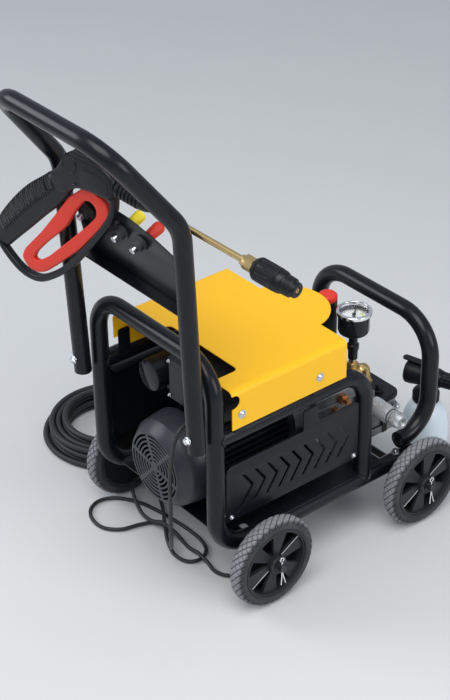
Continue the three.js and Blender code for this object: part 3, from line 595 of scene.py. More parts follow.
@dataclass(frozen=True)
class Metal:
    """Bare or plated metal, cast, brushed or polished, with a little tarnish."""

    name: str
    colour: Colour
    dull: Colour
    roughness: float
    grain: Grain = Grain.BRUSHED

    def make(self) -> bpy.types.Material:
        """Builds the finish."""
        s = Sheet(self.name)
        tarnish = s.noise(55.0, 5.0, 0.6).between(0.45, 0.8)
        if self.grain is Grain.CAST:
            skin, depth = s.noise(700.0, 4.0, 0.7), 0.00018
        elif self.grain is Grain.BRUSHED:
            skin, depth = s.noise(300.0, 3.0, 0.6, stretch=(1.0, 1.0, 6.0)), 0.00003
        else:
            skin, depth = s.noise(240.0, 2.0), 0.000008
        colour = s.mix(tarnish * 0.55, self.colour, self.dull)
        return s.finish({"Base Color": colour, "Metallic": 1.0,
                         "Roughness": self.roughness + tarnish * 0.14 + skin * 0.06,
                         "Normal": s.bump(skin, depth, 0.6)})


@dataclass(frozen=True)
class ClearPlastic:
    """Clear or milky plastic that light passes through, with faint waves from blowing."""

    name: str
    colour: Colour
    roughness: float
    through: float
    alpha: float = 1.0

    def make(self) -> bpy.types.Material:
        """Builds the finish."""
        s = Sheet(self.name)
        wave = s.noise(30.0, 2.0)
        speck = s.noise(260.0, 3.0).between(0.55, 0.8)
        colour = s.mix(speck * 0.15, self.colour, (0.9, 0.92, 0.95))
        return s.finish({"Base Color": colour, "Roughness": self.roughness + speck * 0.08, "IOR": 1.45,
                         "Transmission Weight": self.through, "Alpha": self.alpha,
                         "Normal": s.bump(wave, 0.0004, 0.3)})


def built(finish: Any) -> Any:
    """A dataclass field whose value is that finish's material, built when the dataclass is."""
    return field(default_factory=finish.make)


@dataclass
class Finishes:
    """Every finish on the machine, made once, in this order."""

    black_paint: Any = built(Paint("frame_paint", (0.005, 0.006, 0.009), (0.02, 0.022, 0.028), 0.27, 0.00003,
                                   0.08, 0.24))
    yellow_paint: Any = built(Paint("hood_paint", (0.92, 0.49, 0.004), (0.74, 0.36, 0.01), 0.42, 0.00003,
                                    0.1))
    cover_paint: Any = built(Paint("cover_paint", (0.022, 0.026, 0.033), (0.04, 0.045, 0.052), 0.38, 0.00005,
                                   0.05, 0.4))
    motor_paint: Any = built(Paint("motor_paint", (0.004, 0.005, 0.008), (0.03, 0.03, 0.035), 0.4, 0.0001,
                                   0.05, 0.2))
    black_plastic: Any = built(Plastic("black_plastic", (0.005, 0.0055, 0.008), 0.34))
    rim_plastic: Any = built(Plastic("rim_plastic", (0.022, 0.023, 0.027), 0.42))
    # near black and matte, darker than the rim's own plastic: painted shade deep inside the wheels
    web_painted_shade: Any = built(Plastic("rim_web_plastic", (0.002, 0.002, 0.003), 0.7))
    # light grey for painted highlights along the edges of two rim fans
    fan_highlight_plastic: Any = built(Plastic("mould_line", (0.42, 0.42, 0.43), 0.4))
    shiny_plastic: Any = built(Plastic("gloss_black_plastic", (0.008, 0.009, 0.012), 0.14, 0.000008))
    red_plastic: Any = built(Plastic("red_plastic", (0.62, 0.035, 0.018), 0.34, 0.00002))
    yellow_plastic: Any = built(Plastic("yellow_plastic", (0.82, 0.66, 0.03), 0.4, 0.00002))
    rubber: Any = built(Rubber("rubber"))
    cord: Any = built(Rubber("cord_sheath", (0.010, 0.011, 0.013), (0.07, 0.075, 0.08), 0.3, 0.42))
    tyre: Any = built(Rubber("tyre_rubber", (0.016, 0.017, 0.020), (0.16, 0.16, 0.17), 0.5, 0.6, 0.85))
    cast: Any = built(Metal("cast_aluminium", (0.33, 0.34, 0.35), (0.14, 0.14, 0.14), 0.42, Grain.CAST))
    brass: Any = built(Metal("brass", (0.72, 0.52, 0.24), (0.45, 0.30, 0.12), 0.26, Grain.BRUSHED))
    copper: Any = built(Metal("copper", (0.80, 0.36, 0.16), (0.45, 0.20, 0.09), 0.3, Grain.BRUSHED))
    steel: Any = built(Metal("steel", (0.56, 0.57, 0.59), (0.32, 0.31, 0.30), 0.3, Grain.BRUSHED))
    zinc: Any = built(Metal("zinc", (0.72, 0.74, 0.78), (0.45, 0.45, 0.44), 0.22, Grain.POLISHED))
    chrome: Any = built(Metal("chrome", (0.86, 0.87, 0.9), (0.6, 0.6, 0.62), 0.06, Grain.POLISHED))
    clear: Any = built(ClearPlastic("clear_plastic", (0.95, 0.97, 0.99), 0.08, 0.78))
    glass: Any = built(ClearPlastic("gauge_glass", (1.0, 1.0, 1.0), 0.02, 1.0, 0.10))
    dark_steel: Any = built(Metal("dark_steel", (0.09, 0.09, 0.10), (0.05, 0.05, 0.05), 0.4, Grain.BRUSHED))
    bottle: Any = built(ClearPlastic("bottle_plastic", (0.80, 0.89, 0.96), 0.34, 0.22))
    dial: Any = built(Plastic("dial_card", (0.86, 0.87, 0.88), 0.6, 0.00001))
    lime: Any = built(Plastic("dial_sector", (0.62, 0.68, 0.05), 0.6, 0.00001))
    ink: Any = built(Plastic("dial_ink", (0.02, 0.02, 0.025), 0.6, 0.00001))


# ------------------------------------------------------------------ the machine
@dataclass
class Assembly:
    """A sub-assembly: it knows the bench that makes its meshes and the finishes that dress them."""

    bench: Bench
    fin: Finishes

    def piece(self, name: str, surface: Surface, material: Any, slot: str, body: str = CART,
              **more: Any) -> Any:
        """Builds one piece of this sub-assembly."""
        return self.bench.mesh(name, surface, material, body, slot, **more)

    def build(self) -> None:
        """Builds every piece."""
        raise NotImplementedError

    def sheet(self, name: str, outlines: Sequence[Array], thick: float, edge: float, origin: Array, u: Array,
              v: Array,
              replaces: Sequence[str] = ()) -> None:
        """A plate in the frame's black paint, fixed to the cart."""
        self.bench.plate(name, outlines, thick, edge, origin, u, v, self.fin.black_paint, CART, "paint_black",
                         replaces)

    def bolt(self, name: str, at: Array, axis: Array, across: float = 13.0, washer: float = 9.5) -> None:
        """A zinc hexagon bolt head with its washer, seated at a point and facing along an axis."""
        s = Surface()
        a = unit(axis)
        s.revolve([(0, 0), (0, washer), (1.6, washer), (1.6, 0)], at, a, 32)
        s.hexagon(across, 6.0, at + a * 1.6, a)
        s.revolve([(7.6, 0), (7.6, across * 0.26), (9.2, across * 0.22), (9.2, 0)], at, a, 24)
        self.piece(name, s, self.fin.zinc, "steel")

    def screw(self, name: str, at: Array, axis: Array, radius: float = 7.5, finish: Any = None) -> None:
        """A pan-head screw, zinc if no finish is given, with a cross recess on a washer."""
        a = unit(axis)
        u, v = side_of(a)
        s = Surface()
        s.revolve([(0, 0), (0, radius * 1.35), (1.2, radius * 1.35), (1.2, 0)], at, a, 32)
        s.revolve([(1.2, 0), (1.2, radius), (3.0, radius * 0.97), (4.6, radius * 0.7), (5.2, radius * 0.4),
                   (4.2, radius * 0.3),
                   (3.2, 0)], at, a, 32)
        for turn in (u, v):
            other = np.cross(a, turn)
            s.prism([(-radius * 0.55, -0.7), (radius * 0.55, -0.7), (radius * 0.55, 0.7),
                     (-radius * 0.55, 0.7)], 0.5,
                    at + a * 4.75, turn, other)
        self.piece(name, s, finish or self.fin.zinc, "steel")


@dataclass
class Frame(Assembly):
    """The welded frame: one long tube bent into the bottom rails and the rear hoop, and two side rails."""

    radius: float = 18.5
    half: float = 186.0
    hoop_x: float = -93.0
    hoop_top: float = 563.0
    rail_z: float = 131.0
    side_z: float = 403.0
    front_x: float = 298.0
    rail_end: float = 445.0

    def build(self) -> None:
        """Builds the tubes, their end caps, the hood's tabs and the weld beads."""
        s = Surface()
        side = [vec(self.rail_end, -self.half, self.rail_z), vec(self.hoop_x, -self.half, self.rail_z),
                vec(self.hoop_x, -self.half, self.hoop_top)]
        far = [p * vec(1, -1, 1) for p in reversed(side)]
        s.sweep(route([*side, *far], [0, 80, 78, 78, 80, 0]), self.radius, 40)
        for y in (-self.half, self.half):
            rail = [vec(self.hoop_x + 4, y, self.side_z), vec(self.front_x, y, self.side_z),
                    vec(self.front_x, y, self.rail_z + 4)]
            s.sweep(route(rail, [0, 70, 0]), self.radius, 40)
        for x in (-20, 330):
            s.sweep(np.array([vec(x, -self.half + 6, self.rail_z), vec(x, self.half - 6, self.rail_z)]), 12,
                    24)
        for y in (-203.1, 171.1):
            for x in (-43, 155):
                s.prism(softened([(x - 14, self.side_z + 10), (x + 14, self.side_z + 10), (x + 14, 468),
                                  (x - 14, 468)], 6), 3,
                        vec(0, y + 1.5, 0), X, Z)
        self.piece("frame_tubes", s, self.fin.black_paint, "paint_black", replaces=["frame"])
        beads = Surface()
        for y in (-self.half, self.half):
            beads.sweep(self.bead(vec(self.hoop_x, y, self.side_z), X, Z), self.wobble(120), 8)
            beads.sweep(self.bead(vec(self.front_x, y, self.rail_z), Z, X), self.wobble(120), 8)
        self.piece("weld_beads", beads, self.fin.black_paint, "paint_black")
        caps = Surface()
        for y in (-self.half, self.half):
            caps.revolve([(-0.5, 0), (-0.5, 17.2), (1.4, 17.6), (3.0, 15.0), (3.6, 0)],
                         vec(self.rail_end, y, self.rail_z), X, 40)
        self.piece("rail_end_caps", caps, self.fin.black_plastic, "plastic_black")

    def bead(self, at: Array, along: Array, other: Array) -> Array:
        """The line where two equal tubes meet: at each angle a it reaches √(r² − (r cos a)²) along the first."""
        a = np.linspace(0, 2 * math.pi, 120)
        across = np.cross(along, other)
        r = self.radius + 0.6
        return at + along * (np.sqrt(np.maximum(r**2 - (r * np.cos(a) * 0.985)**2, 1)))[:, None] \
            + across * (r * np.cos(a))[:, None] + other * (r * np.sin(a))[:, None]

    @staticmethod
    def wobble(count: int) -> Array:
        """A bead's thickness along its run: 2.2 mm with the ripple of overlapping beads."""
        return 2.2 + 0.35 * np.sin(np.linspace(0, 2 * math.pi * 18, count))


@dataclass
class Bumper(Assembly):
    """The front hoop on its two legs, bolted on top of the rails."""

    y: float = 175.0
    z: float = 168.35
    back: float = 412.0
    front: float = 498.0
    top: float = 425.0

    def build(self) -> None:
        """Builds the bent tube, its plugs and its bolts."""
        s = Surface()
        side = [vec(self.back, -self.y, self.z), vec(self.front, -self.y, self.z),
                vec(self.front, -self.y, self.top)]
        far = [p * vec(1, -1, 1) for p in reversed(side)]
        s.sweep(route([*side, *far], [0, 80, 88, 88, 80, 0]), 18.5, 40)
        for y in (-self.y, self.y):
            s.revolve([(-9, 0), (-8.4, 6), (-6, 12), (-2.5, 16.6), (2, 18.4), (6, 18.4), (6, 0)],
                      vec(self.back + 4, y, self.z), X, 40)
        self.piece("bumper_tube", s, self.fin.black_paint, "paint_black", replaces=["bumper"])
        for tag, way in (("right", -1), ("left", 1)):
            self.bolt(f"bumper_bolt_{tag}", vec(396, way * (self.y + 11), 149.3), Z)


@dataclass
class Handle(Assembly):
    """The push handle: two legs on the frame's outside that lean back to one crossbar."""

    foot: Array = field(default_factory=lambda: vec(-137, 186, 398))
    knee: Array = field(default_factory=lambda: vec(-158, 186, 884))
    grip: Array = field(default_factory=lambda: vec(-299, 162, 1068))

    def build(self) -> None:
        """Builds the bent tube, its foot plugs and the bolts that hold it."""
        flip = vec(1, -1, 1)
        corners = [self.foot * flip, self.knee * flip, self.grip * flip, self.grip, self.knee, self.foot]
        s = Surface().sweep(route(corners, [0, 90, 70, 70, 90, 0]), 18.0, 40)
        self.piece("handle_tube", s, self.fin.black_paint, "paint_black", replaces=["handle"])
        plugs = Surface()
        for y in (-186, 186):
            plugs.revolve([(0, 0), (0, 16.8), (2, 16.5), (3, 0)], vec(-137, y, 398.4), -Z, 32)
        self.piece("handle_foot_plugs", plugs, self.fin.black_plastic, "plastic_black")
        z = 432
        for tag, y in (("right", -186), ("left", 186)):
            self.bolt(f"handle_bolt_{tag}_0", vec(-138 - (z - 398) * 0.043 - 17.6, y, z), -X, 12, 8.5)


@dataclass
class NozzlePanel(Assembly):
    """The leaning sheet between the handle's legs, with the spray nozzles in rubber rings."""

    lean: float = math.radians(12)
    tilt: float = math.radians(24)
    half: float = 166.5
    up: float = 108.0

    def at(self, y: float, up: float, out: float = 0.0) -> Array:
        """A point on the panel: `up` along it from its foot and `out` off its rear face."""
        rise, off = vec(-math.sin(self.lean), 0, math.cos(self.lean)), vec(-math.cos(self.lean), 0,
                                                                           -math.sin(self.lean))
        return vec(-121, y, 688) + rise * up + off * out

    def build(self) -> None:
        """Builds the sheet with its flange, the rings and the nozzles."""
        rise = vec(-math.sin(self.lean), 0, math.cos(self.lean))
        off = vec(-math.cos(self.lean), 0, -math.sin(self.lean))
        h = self.half
        edge = softened([(-h, 1), (h, 1), (h, 118), (110, 138), (60, 152), (-20, 150), (-100, 134),
                         (-h, 112)], 18)
        ys = {"white": 122.0, "yellow": 12.0, "red": -46.0}
        turn = circle(32)
        holes = [np.stack([y + 12 * np.cos(turn), self.up + 12 * np.sin(turn)], 1) for y in ys.values()]
        self.sheet("nozzle_sheet", [edge, *holes], 2.0, 0.4, self.at(0, 0, -1), Y, rise, ["nozzle_panel"])
        flange = softened([(-h, 0), (h, 0), (h, 24), (-h, 24)], 4)
        self.sheet("nozzle_sheet_flange", [flange], 2.0, 0.4, self.at(0, 1, 0), Y, off)
        way = vec(math.cos(self.tilt), 0, math.sin(self.tilt))
        colours = {"white": self.fin.zinc, "yellow": self.fin.yellow_plastic, "red": self.fin.red_plastic}
        slots = {"white": "chrome", "yellow": "plastic_yellow", "red": "plastic_red"}
        for key, y in ys.items():
            middle = self.at(y, self.up)
            ring = [(-17, 7.7), (-17, 10.5), (-15.5, 11.8), (-6, 12.4), (-5, 15.6), (-1.6, 16.4), (1.0, 15.6),
                    (1.2, 12), (5, 11.4),
                    (6.5, 10), (6.5, 7.7), (-17, 7.7)]
            self.piece(f"grommet_{key}", Surface().revolve(ring, middle + off * -1, way, 40), self.fin.rubber,
                       "rubber_black")
            start = self.at(y, self.up, -3)
            plug = [(-30, 0), (-30, 6.0), (-28.6, 7.2), (-21, 7.2), (-20, 5.2), (-17.5, 5.2), (-16.5, 7.2),
                    (15, 7.2), (15, 0)]
            self.piece(f"nozzle_plug_{key}", Surface().revolve(plug, start, way, 32), self.fin.zinc, "chrome",
                       body=f"nozzle_{key}")
            head = Surface()
            levels = [(15, 9.5, 0.0), (16.5, 10.6, 0.1), (20, 11.2, 1.0), (38, 12.2, 1.0), (43, 11.6, 0.7),
                      (46, 9.4, 0.0)]
            head.lobed(levels, -np.clip(np.sin(6 * circle(96)), 0, 1) ** 0.5, start, way, *side_of(way))
            head.revolve([(44, 0), (44, 4.5), (47.5, 4.5), (47.5, 0)], start, way, 24)
            self.piece(f"nozzle_head_{key}", head, colours[key], slots[key], body=f"nozzle_{key}",
                       replaces=[f"spray_nozzle_{key}"])


@dataclass
class Hood(Assembly):
    """The folded yellow sheet over the motor: a round lobe in front, a cut-out over the electrical box."""

    near: float = -207.0
    far: float = 175.0
    top: float = 510.0
    low: float = 424.0
    back: float = -66.0
    front: float = 226.0
    thick: float = 2.0
    fold: float = 13.0

    def build(self) -> None:
        """Builds the skin and its screws."""
        skin = self.bench.mesh("hood_skin", self.folded(), self.fin.yellow_paint, CART, "paint_yellow",
                               replaces=["hood"],
                               crease=50)
        lobe = self.cylinder("lobe", vec(211, -35, self.top - self.thick), vec(211, -35, self.top), 94, 96)
        keep = self.block("keep", (150, -200, self.top - 3), (400, 200, self.top + 3))
        self.combine(lobe, keep, "INTERSECT")
        self.combine(skin, lobe, "UNION")
        corner = softened([(-90, -150), (-4, -150), (-4, 66), (-90, 66)], 14, 8)
        hole = Surface().prism(corner, 60, vec(0, 0, 480), X, Y)
        self.combine(skin, self.tool("cut_out", hole), "DIFFERENCE")
        self.combine(skin, self.cylinder("notch", vec(-62, self.near - 5, 486), vec(-62, self.near + 20, 486),
                                         15, 48), "DIFFERENCE")
        self.combine(skin, self.block("far_notch", (-80, self.far - 10, 415), (-30, self.far + 5, 452)),
                     "DIFFERENCE")
        data = skin.data
        for face in data.polygons:
            face.use_smooth = True
        data.set_sharp_from_angle(angle=math.radians(30))
        for i, (x, s) in enumerate(((-43, -1), (155, -1), (-18, 1), (155, 1))):
            y = self.near - 0.3 if s < 0 else self.far + 0.3
            self.screw(f"hood_screw_{i}", vec(x, y, 454), vec(0, s, 0), 7.0)

    def folded(self) -> Surface:
        """The cross-section of a sheet folded down on both sides, its folds rounded, pushed along X."""
        def fold_line(grow: float) -> list[tuple[float, float]]:
            r = self.fold - grow
            a = np.radians(np.linspace(0, 90, 9))
            left = [(self.far - self.fold + r * math.cos(t),
                     self.top - self.fold + r * math.sin(t)) for t in a]
            right = [(self.near + self.fold - r * math.sin(t),
                      self.top - self.fold + r * math.cos(t)) for t in a]
            return [(self.far - grow, self.low), *left, *right, (self.near + grow, self.low)]
        outline = [*fold_line(0.0), *reversed(fold_line(self.thick))]
        return Surface().prism(outline, self.front - self.back, vec(self.back, 0, 0), Y, Z)

    def tool(self, name: str, surface: Surface) -> bpy.types.Object:
        """A shape that only cuts or joins the skin and is then removed."""
        data = bpy.data.meshes.new(name)
        data.from_pydata(self.bench.row(np.vstack(surface.points)).tolist(), [], surface.faces)
        bm = bmesh.new()
        bm.from_mesh(data)
        bmesh.ops.recalc_face_normals(bm, faces=bm.faces)
        bm.to_mesh(data)
        bm.free()
        obj = bpy.data.objects.new(name, data)
        bpy.context.scene.collection.objects.link(obj)
        return obj

    def cylinder(self, name: str, a: Array, b: Array, radius: float, sides: int) -> bpy.types.Object:
        """A round tool between two points."""
        return self.tool(name, Surface().sweep(np.array([a, b]), radius, sides))

    def block(self, name: str, low: Sequence[float], high: Sequence[float]) -> bpy.types.Object:
        """A square tool between two corners."""
        return self.tool(name, Surface().box(low, high))

    @staticmethod
    def combine(target: bpy.types.Object, tool: bpy.types.Object, operation: str) -> None:
        """Joins, meets or cuts the target with a tool, keeps the result as its mesh and removes the tool."""
        mod = target.modifiers.new(operation.lower(), "BOOLEAN")
        mod.operation, mod.solver, mod.object = operation, "EXACT", tool
        bpy.context.view_layer.update()
        made = bpy.data.meshes.new_from_object(target.evaluated_get(bpy.context.evaluated_depsgraph_get()))
        target.modifiers.remove(mod)
        old = target.data
        target.data = made
        made.name = old.name + "_" + operation.lower()
        bpy.data.meshes.remove(old)
        bpy.data.objects.remove(tool)


@dataclass
class SidePanels(Assembly):
    """The sheets between the side rails: chevron slots on the near one, a plain far one with a folded lip."""

    thick: float = 2.5
    slots: int = 9
    pitch: float = 31.6

    def build(self) -> None:
        """Builds both panels and the base plate between them."""
        rear, front = -71.5, 278.5
        edge = [(rear, 196), (front, 196), (front, 332), (front - 12, 338), (172, 338), (165, 346),
                (165, 376), (128, 376),
                (128, 328), (rear + 14, 328), (rear, 316)]
        cuts = [softened(self.chevron(-4 + i * self.pitch), 1.6, 3) for i in range(self.slots)]
        plain = softened([(rear, 196), (front, 196), (front, 318), (front - 44, 376), (rear, 376)], 5)
        lip = softened([(rear, 164), (front - 50, 164), (front - 50, 190), (rear, 190)], 4)
        self.sheet("side_sheet_left_lip", [lip], 2.0, 0.5, vec(0, 0, 375.2), X, Y)
        for tag, y, outlines in (("right", -191.25, [softened(edge, 5), *cuts]), ("left", 191.25, [plain])):
            self.sheet(f"side_sheet_{tag}", outlines, self.thick, 0.5, vec(0, y, 0), X, Z,
                       [f"side_panel_{tag}"])
            for i, (x, z) in enumerate(((rear + 12, 206), (front - 12, 206))):
                self.screw(f"panel_screw_{tag}_{i}", vec(x, y + math.copysign(1.3, y), z),
                           vec(0, math.copysign(1, y), 0), 4.0)
        plate = softened([(-6, -198), (352, -198), (352, 198), (-6, 198), (-6, 166), (-72, 166), (-72, -166),
                          (-6, -166)], 6)
        self.sheet("floor_plate", [plate], 3.0, 0.5, vec(0, 0, 151.35), X, Y, ["base_plate"])

    @staticmethod
    def chevron(x: float) -> list[tuple[float, float]]:
        """One slot: a narrow bent bar that points forward."""
        return [(x - 27, 295), (x - 21, 295), (x + 3, 262), (x - 24, 222), (x - 31, 222), (x - 4, 262)]


@dataclass
class Wheels(Assembly):
    """Four wheels with solid rubber tyres, six-fan moulded rims and split pins on steel axles."""

    radius: float = 100.0
    width: float = 39.0
    out: float = 264.0
    base: float = 416.0

    def build(self) -> None:
        """Builds the axles and the wheels."""
        for tag, x in (("rear", 0.0), ("front", self.base)):
            bar = Surface()
            half = self.out + 19
            bar.revolve([(-half, 0), (-half, 7), (-half + 1, 8), (half - 1, 8), (half, 7), (half, 0)],
                        vec(x, 0, 100), Y, 40)
            self.piece(f"axle_bar_{tag}", bar, self.fin.dark_steel, "steel", replaces=[f"axle_{tag}"])
            saddle = Surface()
            for y in (-186, 186):
                saddle.box((x - 16, y - 14, 92), (x + 16, y + 14, 112))
            self.piece(f"axle_saddles_{tag}", saddle, self.fin.black_paint, "paint_black", bevel=1.5)
            for side, s in (("right", -1), ("left", 1)):
                self.wheel(f"{tag}_{side}", x, s)

    def wheel(self, tag: str, x: float, s: int) -> None:
        """Builds one wheel: tyre, rim and split pin."""
        body = "wheel_" + tag
        centre = vec(x, s * self.out, self.radius)
        tyre = self.piece("tyre_body_" + tag, self.tyre(centre, s), self.fin.tyre, "tyre_black", body=body,
                          replaces=["tyre_" + tag], crease=28)
        self.mark_tread_wear_and_highlight(tyre, centre)
        self.piece("rim_body_" + tag, self.rim(centre, s), self.fin.rim_plastic, "plastic_black", body=body,
                   replaces=["rim_" + tag], crease=30)
        axis = vec(0, s, 0)
        # a disc across the rim's inside, behind the fans, in near black as painted shade in the wheel's depth
        web = Surface().revolve([(-35, 8.6), (-35, 72), (-31, 72), (-31, 8.6), (-35, 8.6)], centre, axis, 96)
        self.piece("rim_web_" + tag, web, self.fin.web_painted_shade, "plastic_black", body=body)
        # two pale lines on opposite fans: painted highlights where light catches the fans' edges
        lines = Surface()
        for i in (0, 3):
            a = i * math.pi / 3 + 0.32
            u = vec(math.cos(a), 0, math.sin(a))
            v = np.cross(axis, u)
            lines.sweep(np.array([centre - axis * 8.4 + u * 20 - v * 6.4 * s,
                                  centre - axis * 8.4 + u * 69 - v * 17.2 * s]), 0.9, 10)
        self.piece("rim_lines_" + tag, lines, self.fin.fan_highlight_plastic, "plastic_black", body=body)
        self.pin(tag, x, s)

    def mark_tread_wear_and_highlight(self, tyre: bpy.types.Object, centre: Array) -> None:
        """Marks where a tyre's lands are lightened, for wear and a painted highlight: 1 on the lands, 0 in
        grooves and on the side walls.
        """
        at = np.empty(len(tyre.data.vertices) * 3)
        tyre.data.vertices.foreach_get("co", at)
        off = at.reshape(-1, 3) - self.bench.row(centre)
        radius = np.hypot(off[:, 0], off[:, 2]) * 1000
        worn = np.clip((radius - 92.5) / 5.5, 0, 1) ** 1.5
        tyre.data.attributes.new("tread", "FLOAT", "POINT").data.foreach_set("value", worn)

    def tyre(self, centre: Array, s: int) -> Surface:
        """The tyre as a grid: its section is turned round, and the crossed grooves are pressed in.

        The radius at (angle t, place w across) is the section's less the depth where a line of either slant
        passes: |frac(n·t ± k·w) − 1/2| is under a set width. The grooves fade out on the side walls.
        """
        w = self.width
        profile = softened([(-w, 79.5), (-w, 86), (-w + 3, 94), (-w + 9, 99), (-w / 2, 100), (-9, 99),
                            (-3, 94), (0, 86), (0, 79.5)],
                           5, 4)
        line = even(np.column_stack([profile, np.zeros(len(profile))])[3:-4], 1.15)
        along, radius = line[:, 0], line[:, 1]
        t = circle(540)
        tt, aa = np.meshgrid(t, along)
        rr = np.broadcast_to(radius[:, None], tt.shape)
        lines = np.minimum(np.abs((tt * 36 / (2 * math.pi) + aa / 13) % 1 - 0.5),
                           np.abs((tt * 36 / (2 * math.pi) - aa / 13) % 1 - 0.5))
        groove = 1 - np.clip((lines - 0.06) / 0.04, 0, 1)
        tread = np.clip((rr - 88.5) / 2.5, 0, 1)
        sidewall = np.clip(1 - np.abs(rr - 84.5) / 0.9, 0, 1) * 0.5
        rr = rr - 3.4 * groove * tread - sidewall
        around = np.cos(tt)[..., None] * X + np.sin(tt)[..., None] * Z
        points = centre + (s * aa)[..., None] * Y + rr[..., None] * around
        inner = [(-w + 0.5, 79.5), (-0.5, 79.5)]
        first, last = (centre + s * across * Y + r * spokes(t, X, Z) for across, r in inner)
        return Surface().grid(np.concatenate([first[None], points, last[None]]), wrap_u=True)

    def rim(self, centre: Array, s: int) -> Surface:
        """The rim: a stepped band, a hub with ribs, and six fans that widen outward and stand apart."""
        axis = vec(0, s, 0)
        made = Surface()
        band = [(-37, 72), (-37, 79.2), (-1.2, 79.2), (0.6, 78.6), (1.0, 77), (0.2, 74.5), (-3, 73.6),
                (-3.4, 71), (-20, 69.5),
                (-37, 72)]
        made.revolve(band, centre, axis, 120)
        hub = [(-44, 8.6), (-44, 16), (-10, 19.5), (3, 20.5), (4.6, 19.6), (4.6, 13), (1.5, 12), (1.5, 8.6),
               (-44, 8.6)]
        made.revolve(hub, centre, axis, 60)
        for i in range(6):
            a = i * math.pi / 3 + 0.32
            u = vec(math.cos(a), 0, math.sin(a))
            v = np.cross(axis, u)
            fan = softened([(17, -6.5), (71.5, -19), (73, 0), (71.5, 19), (17, 6.5)], 2, 3)
            made.prism(fan, -8.0, centre - axis * 9, u, v)
        return made

    def pin(self, tag: str, x: float, s: int) -> None:
        """A split pin through the axle's end: two legs, bent apart, from one round eye."""
        y = s * (self.out + 13)
        wire = Surface()
        for lean in (-1, 1):
            legs = [vec(x, y, 116), vec(x + lean * 1.2, y, 100), vec(x + lean * 1.4, y + s * 1, 84),
                    vec(x + lean * 6, y + s * 4, 62)]
            wire.sweep(smooth_route(legs, 2.0), 1.3, 10)
        t = np.linspace(-1.1, math.pi + 1.1, 28)
        eye = np.stack([x + 4.5 * np.cos(t), np.full_like(t, y), 120.5 + 4.5 * np.sin(t)], 1)
        wire.sweep(eye, 1.5, 10)
        self.piece("split_pin_" + tag, wire, self.fin.chrome, "chrome", replaces=["cotter_" + tag])
        washer = Surface().revolve([(5.2, 8.1), (5.2, 12), (6.6, 12), (6.6, 8.1), (5.2, 8.1)],
                                   vec(x, s * self.out, 100), vec(0, s, 0), 40)
        self.piece("washer_" + tag, washer, self.fin.dark_steel, "steel")


@dataclass
class Motor(Assembly):
    """The induction motor: finned can, end cover with a slotted face, and the fan inside it."""

    y: float = -34.0
    z: float = 272.0
    radius: float = 92.0
    face: float = -128.0

    def at(self, x: float) -> Array:
        """A point on the shaft's line."""
        return vec(x, self.y, self.z)

    def build(self) -> None:
        """Builds the can, feet, cover, grille and fan."""
        fins = 44
        a = circle(fins * 8)
        wave = np.clip(np.sin(fins * a) * 2.2, -1, 1) * 0.5 + 0.5
        u, v = side_of(X)
        r = self.radius
        levels = [(-52, r, 0.0), (-44, r, 0.0), (-40, r, 1.0), (146, r, 1.0), (150, r, 0.0), (166, r, 0.0)]
        can = Surface().lobed(levels, -9 * (1 - wave), self.at(0), X, u, v)
        can.revolve([(160, 0), (160, 76), (166, 76), (176, 72), (184, 66), (184, 0)], vec(0, self.y, self.z),
                    X, 72)
        for y in (-62, 62):
            can.box((-10, self.y + y - 12, 155), (120, self.y + y + 12, self.z - 60))
        can.box((-20, self.y - 80, 153.2), (130, self.y + 80, 164.8))
        self.piece("motor_can", can, self.fin.motor_paint, "paint_grey", replaces=["motor"], crease=25)
        self.cover()
        self.fan()

    def cover(self) -> None:
        """The fan cover: a conical shell, and a face of arc slots left between rings and radial bars."""
        f = self.face
        shell = [(0.6, 71), (0.4, 74.5), (1.4, 76), (24, 93.2), (26, 94.4), (60, 99.2), (74, 100), (76, 99.5),
                 (76, 97.6), (60, 97.0),
                 (26, 91.8), (4.5, 74), (4.5, 71), (0.6, 71)]
        s = Surface().revolve(shell, self.at(f), X, 144)
        for r in np.arange(19, 70, 9.0):
            ring = softened([(0, r - 2.2), (0, r + 2.2), (3.6, r + 2.2), (3.6, r - 2.2)], 1.1, 3)
            s.revolve(np.vstack([ring, ring[:1]]), self.at(f + 0.4), X, 120)
        s.revolve([(0, 0), (0, 11.5), (1, 12.5), (4, 12.5), (4, 0)], self.at(f), X, 40)
        for i in range(6):
            a = i * math.pi / 3 + 0.2
            u = vec(0, math.cos(a), math.sin(a))
            s.prism([(10, -3.2), (74, -4.6), (74, 4.6), (10, 3.2)], 3.4, self.at(f + 0.5), u, np.cross(X, u))
        self.piece("fan_cover_shell", s, self.fin.cover_paint, "paint_grey", replaces=["fan_cover"],
                   crease=40)

    def fan(self) -> None:
        """The fan: hub, six blades and a back disc, on the shaft's end."""
        s = Surface()
        s.revolve([(-112, 0), (-112, 8), (-111, 9), (-34, 9), (-34, 0)], self.at(0), X, 32)
        s.revolve([(-98, 0), (-98, 22), (-96, 24), (-70, 24), (-70, 0)], self.at(0), X, 40)
        for i in range(6):
            a = i * math.pi / 3
            u = vec(0, math.cos(a), math.sin(a))
            s.prism(softened([(15, -96), (80, -92), (80, -74), (15, -72)], 4), 3,
                    self.at(0) - np.cross(X, u) * 1.5, u, X)
        self.piece("cooling_fan", s, self.fin.black_plastic, "plastic_black", body="fan", replaces=["fan"])


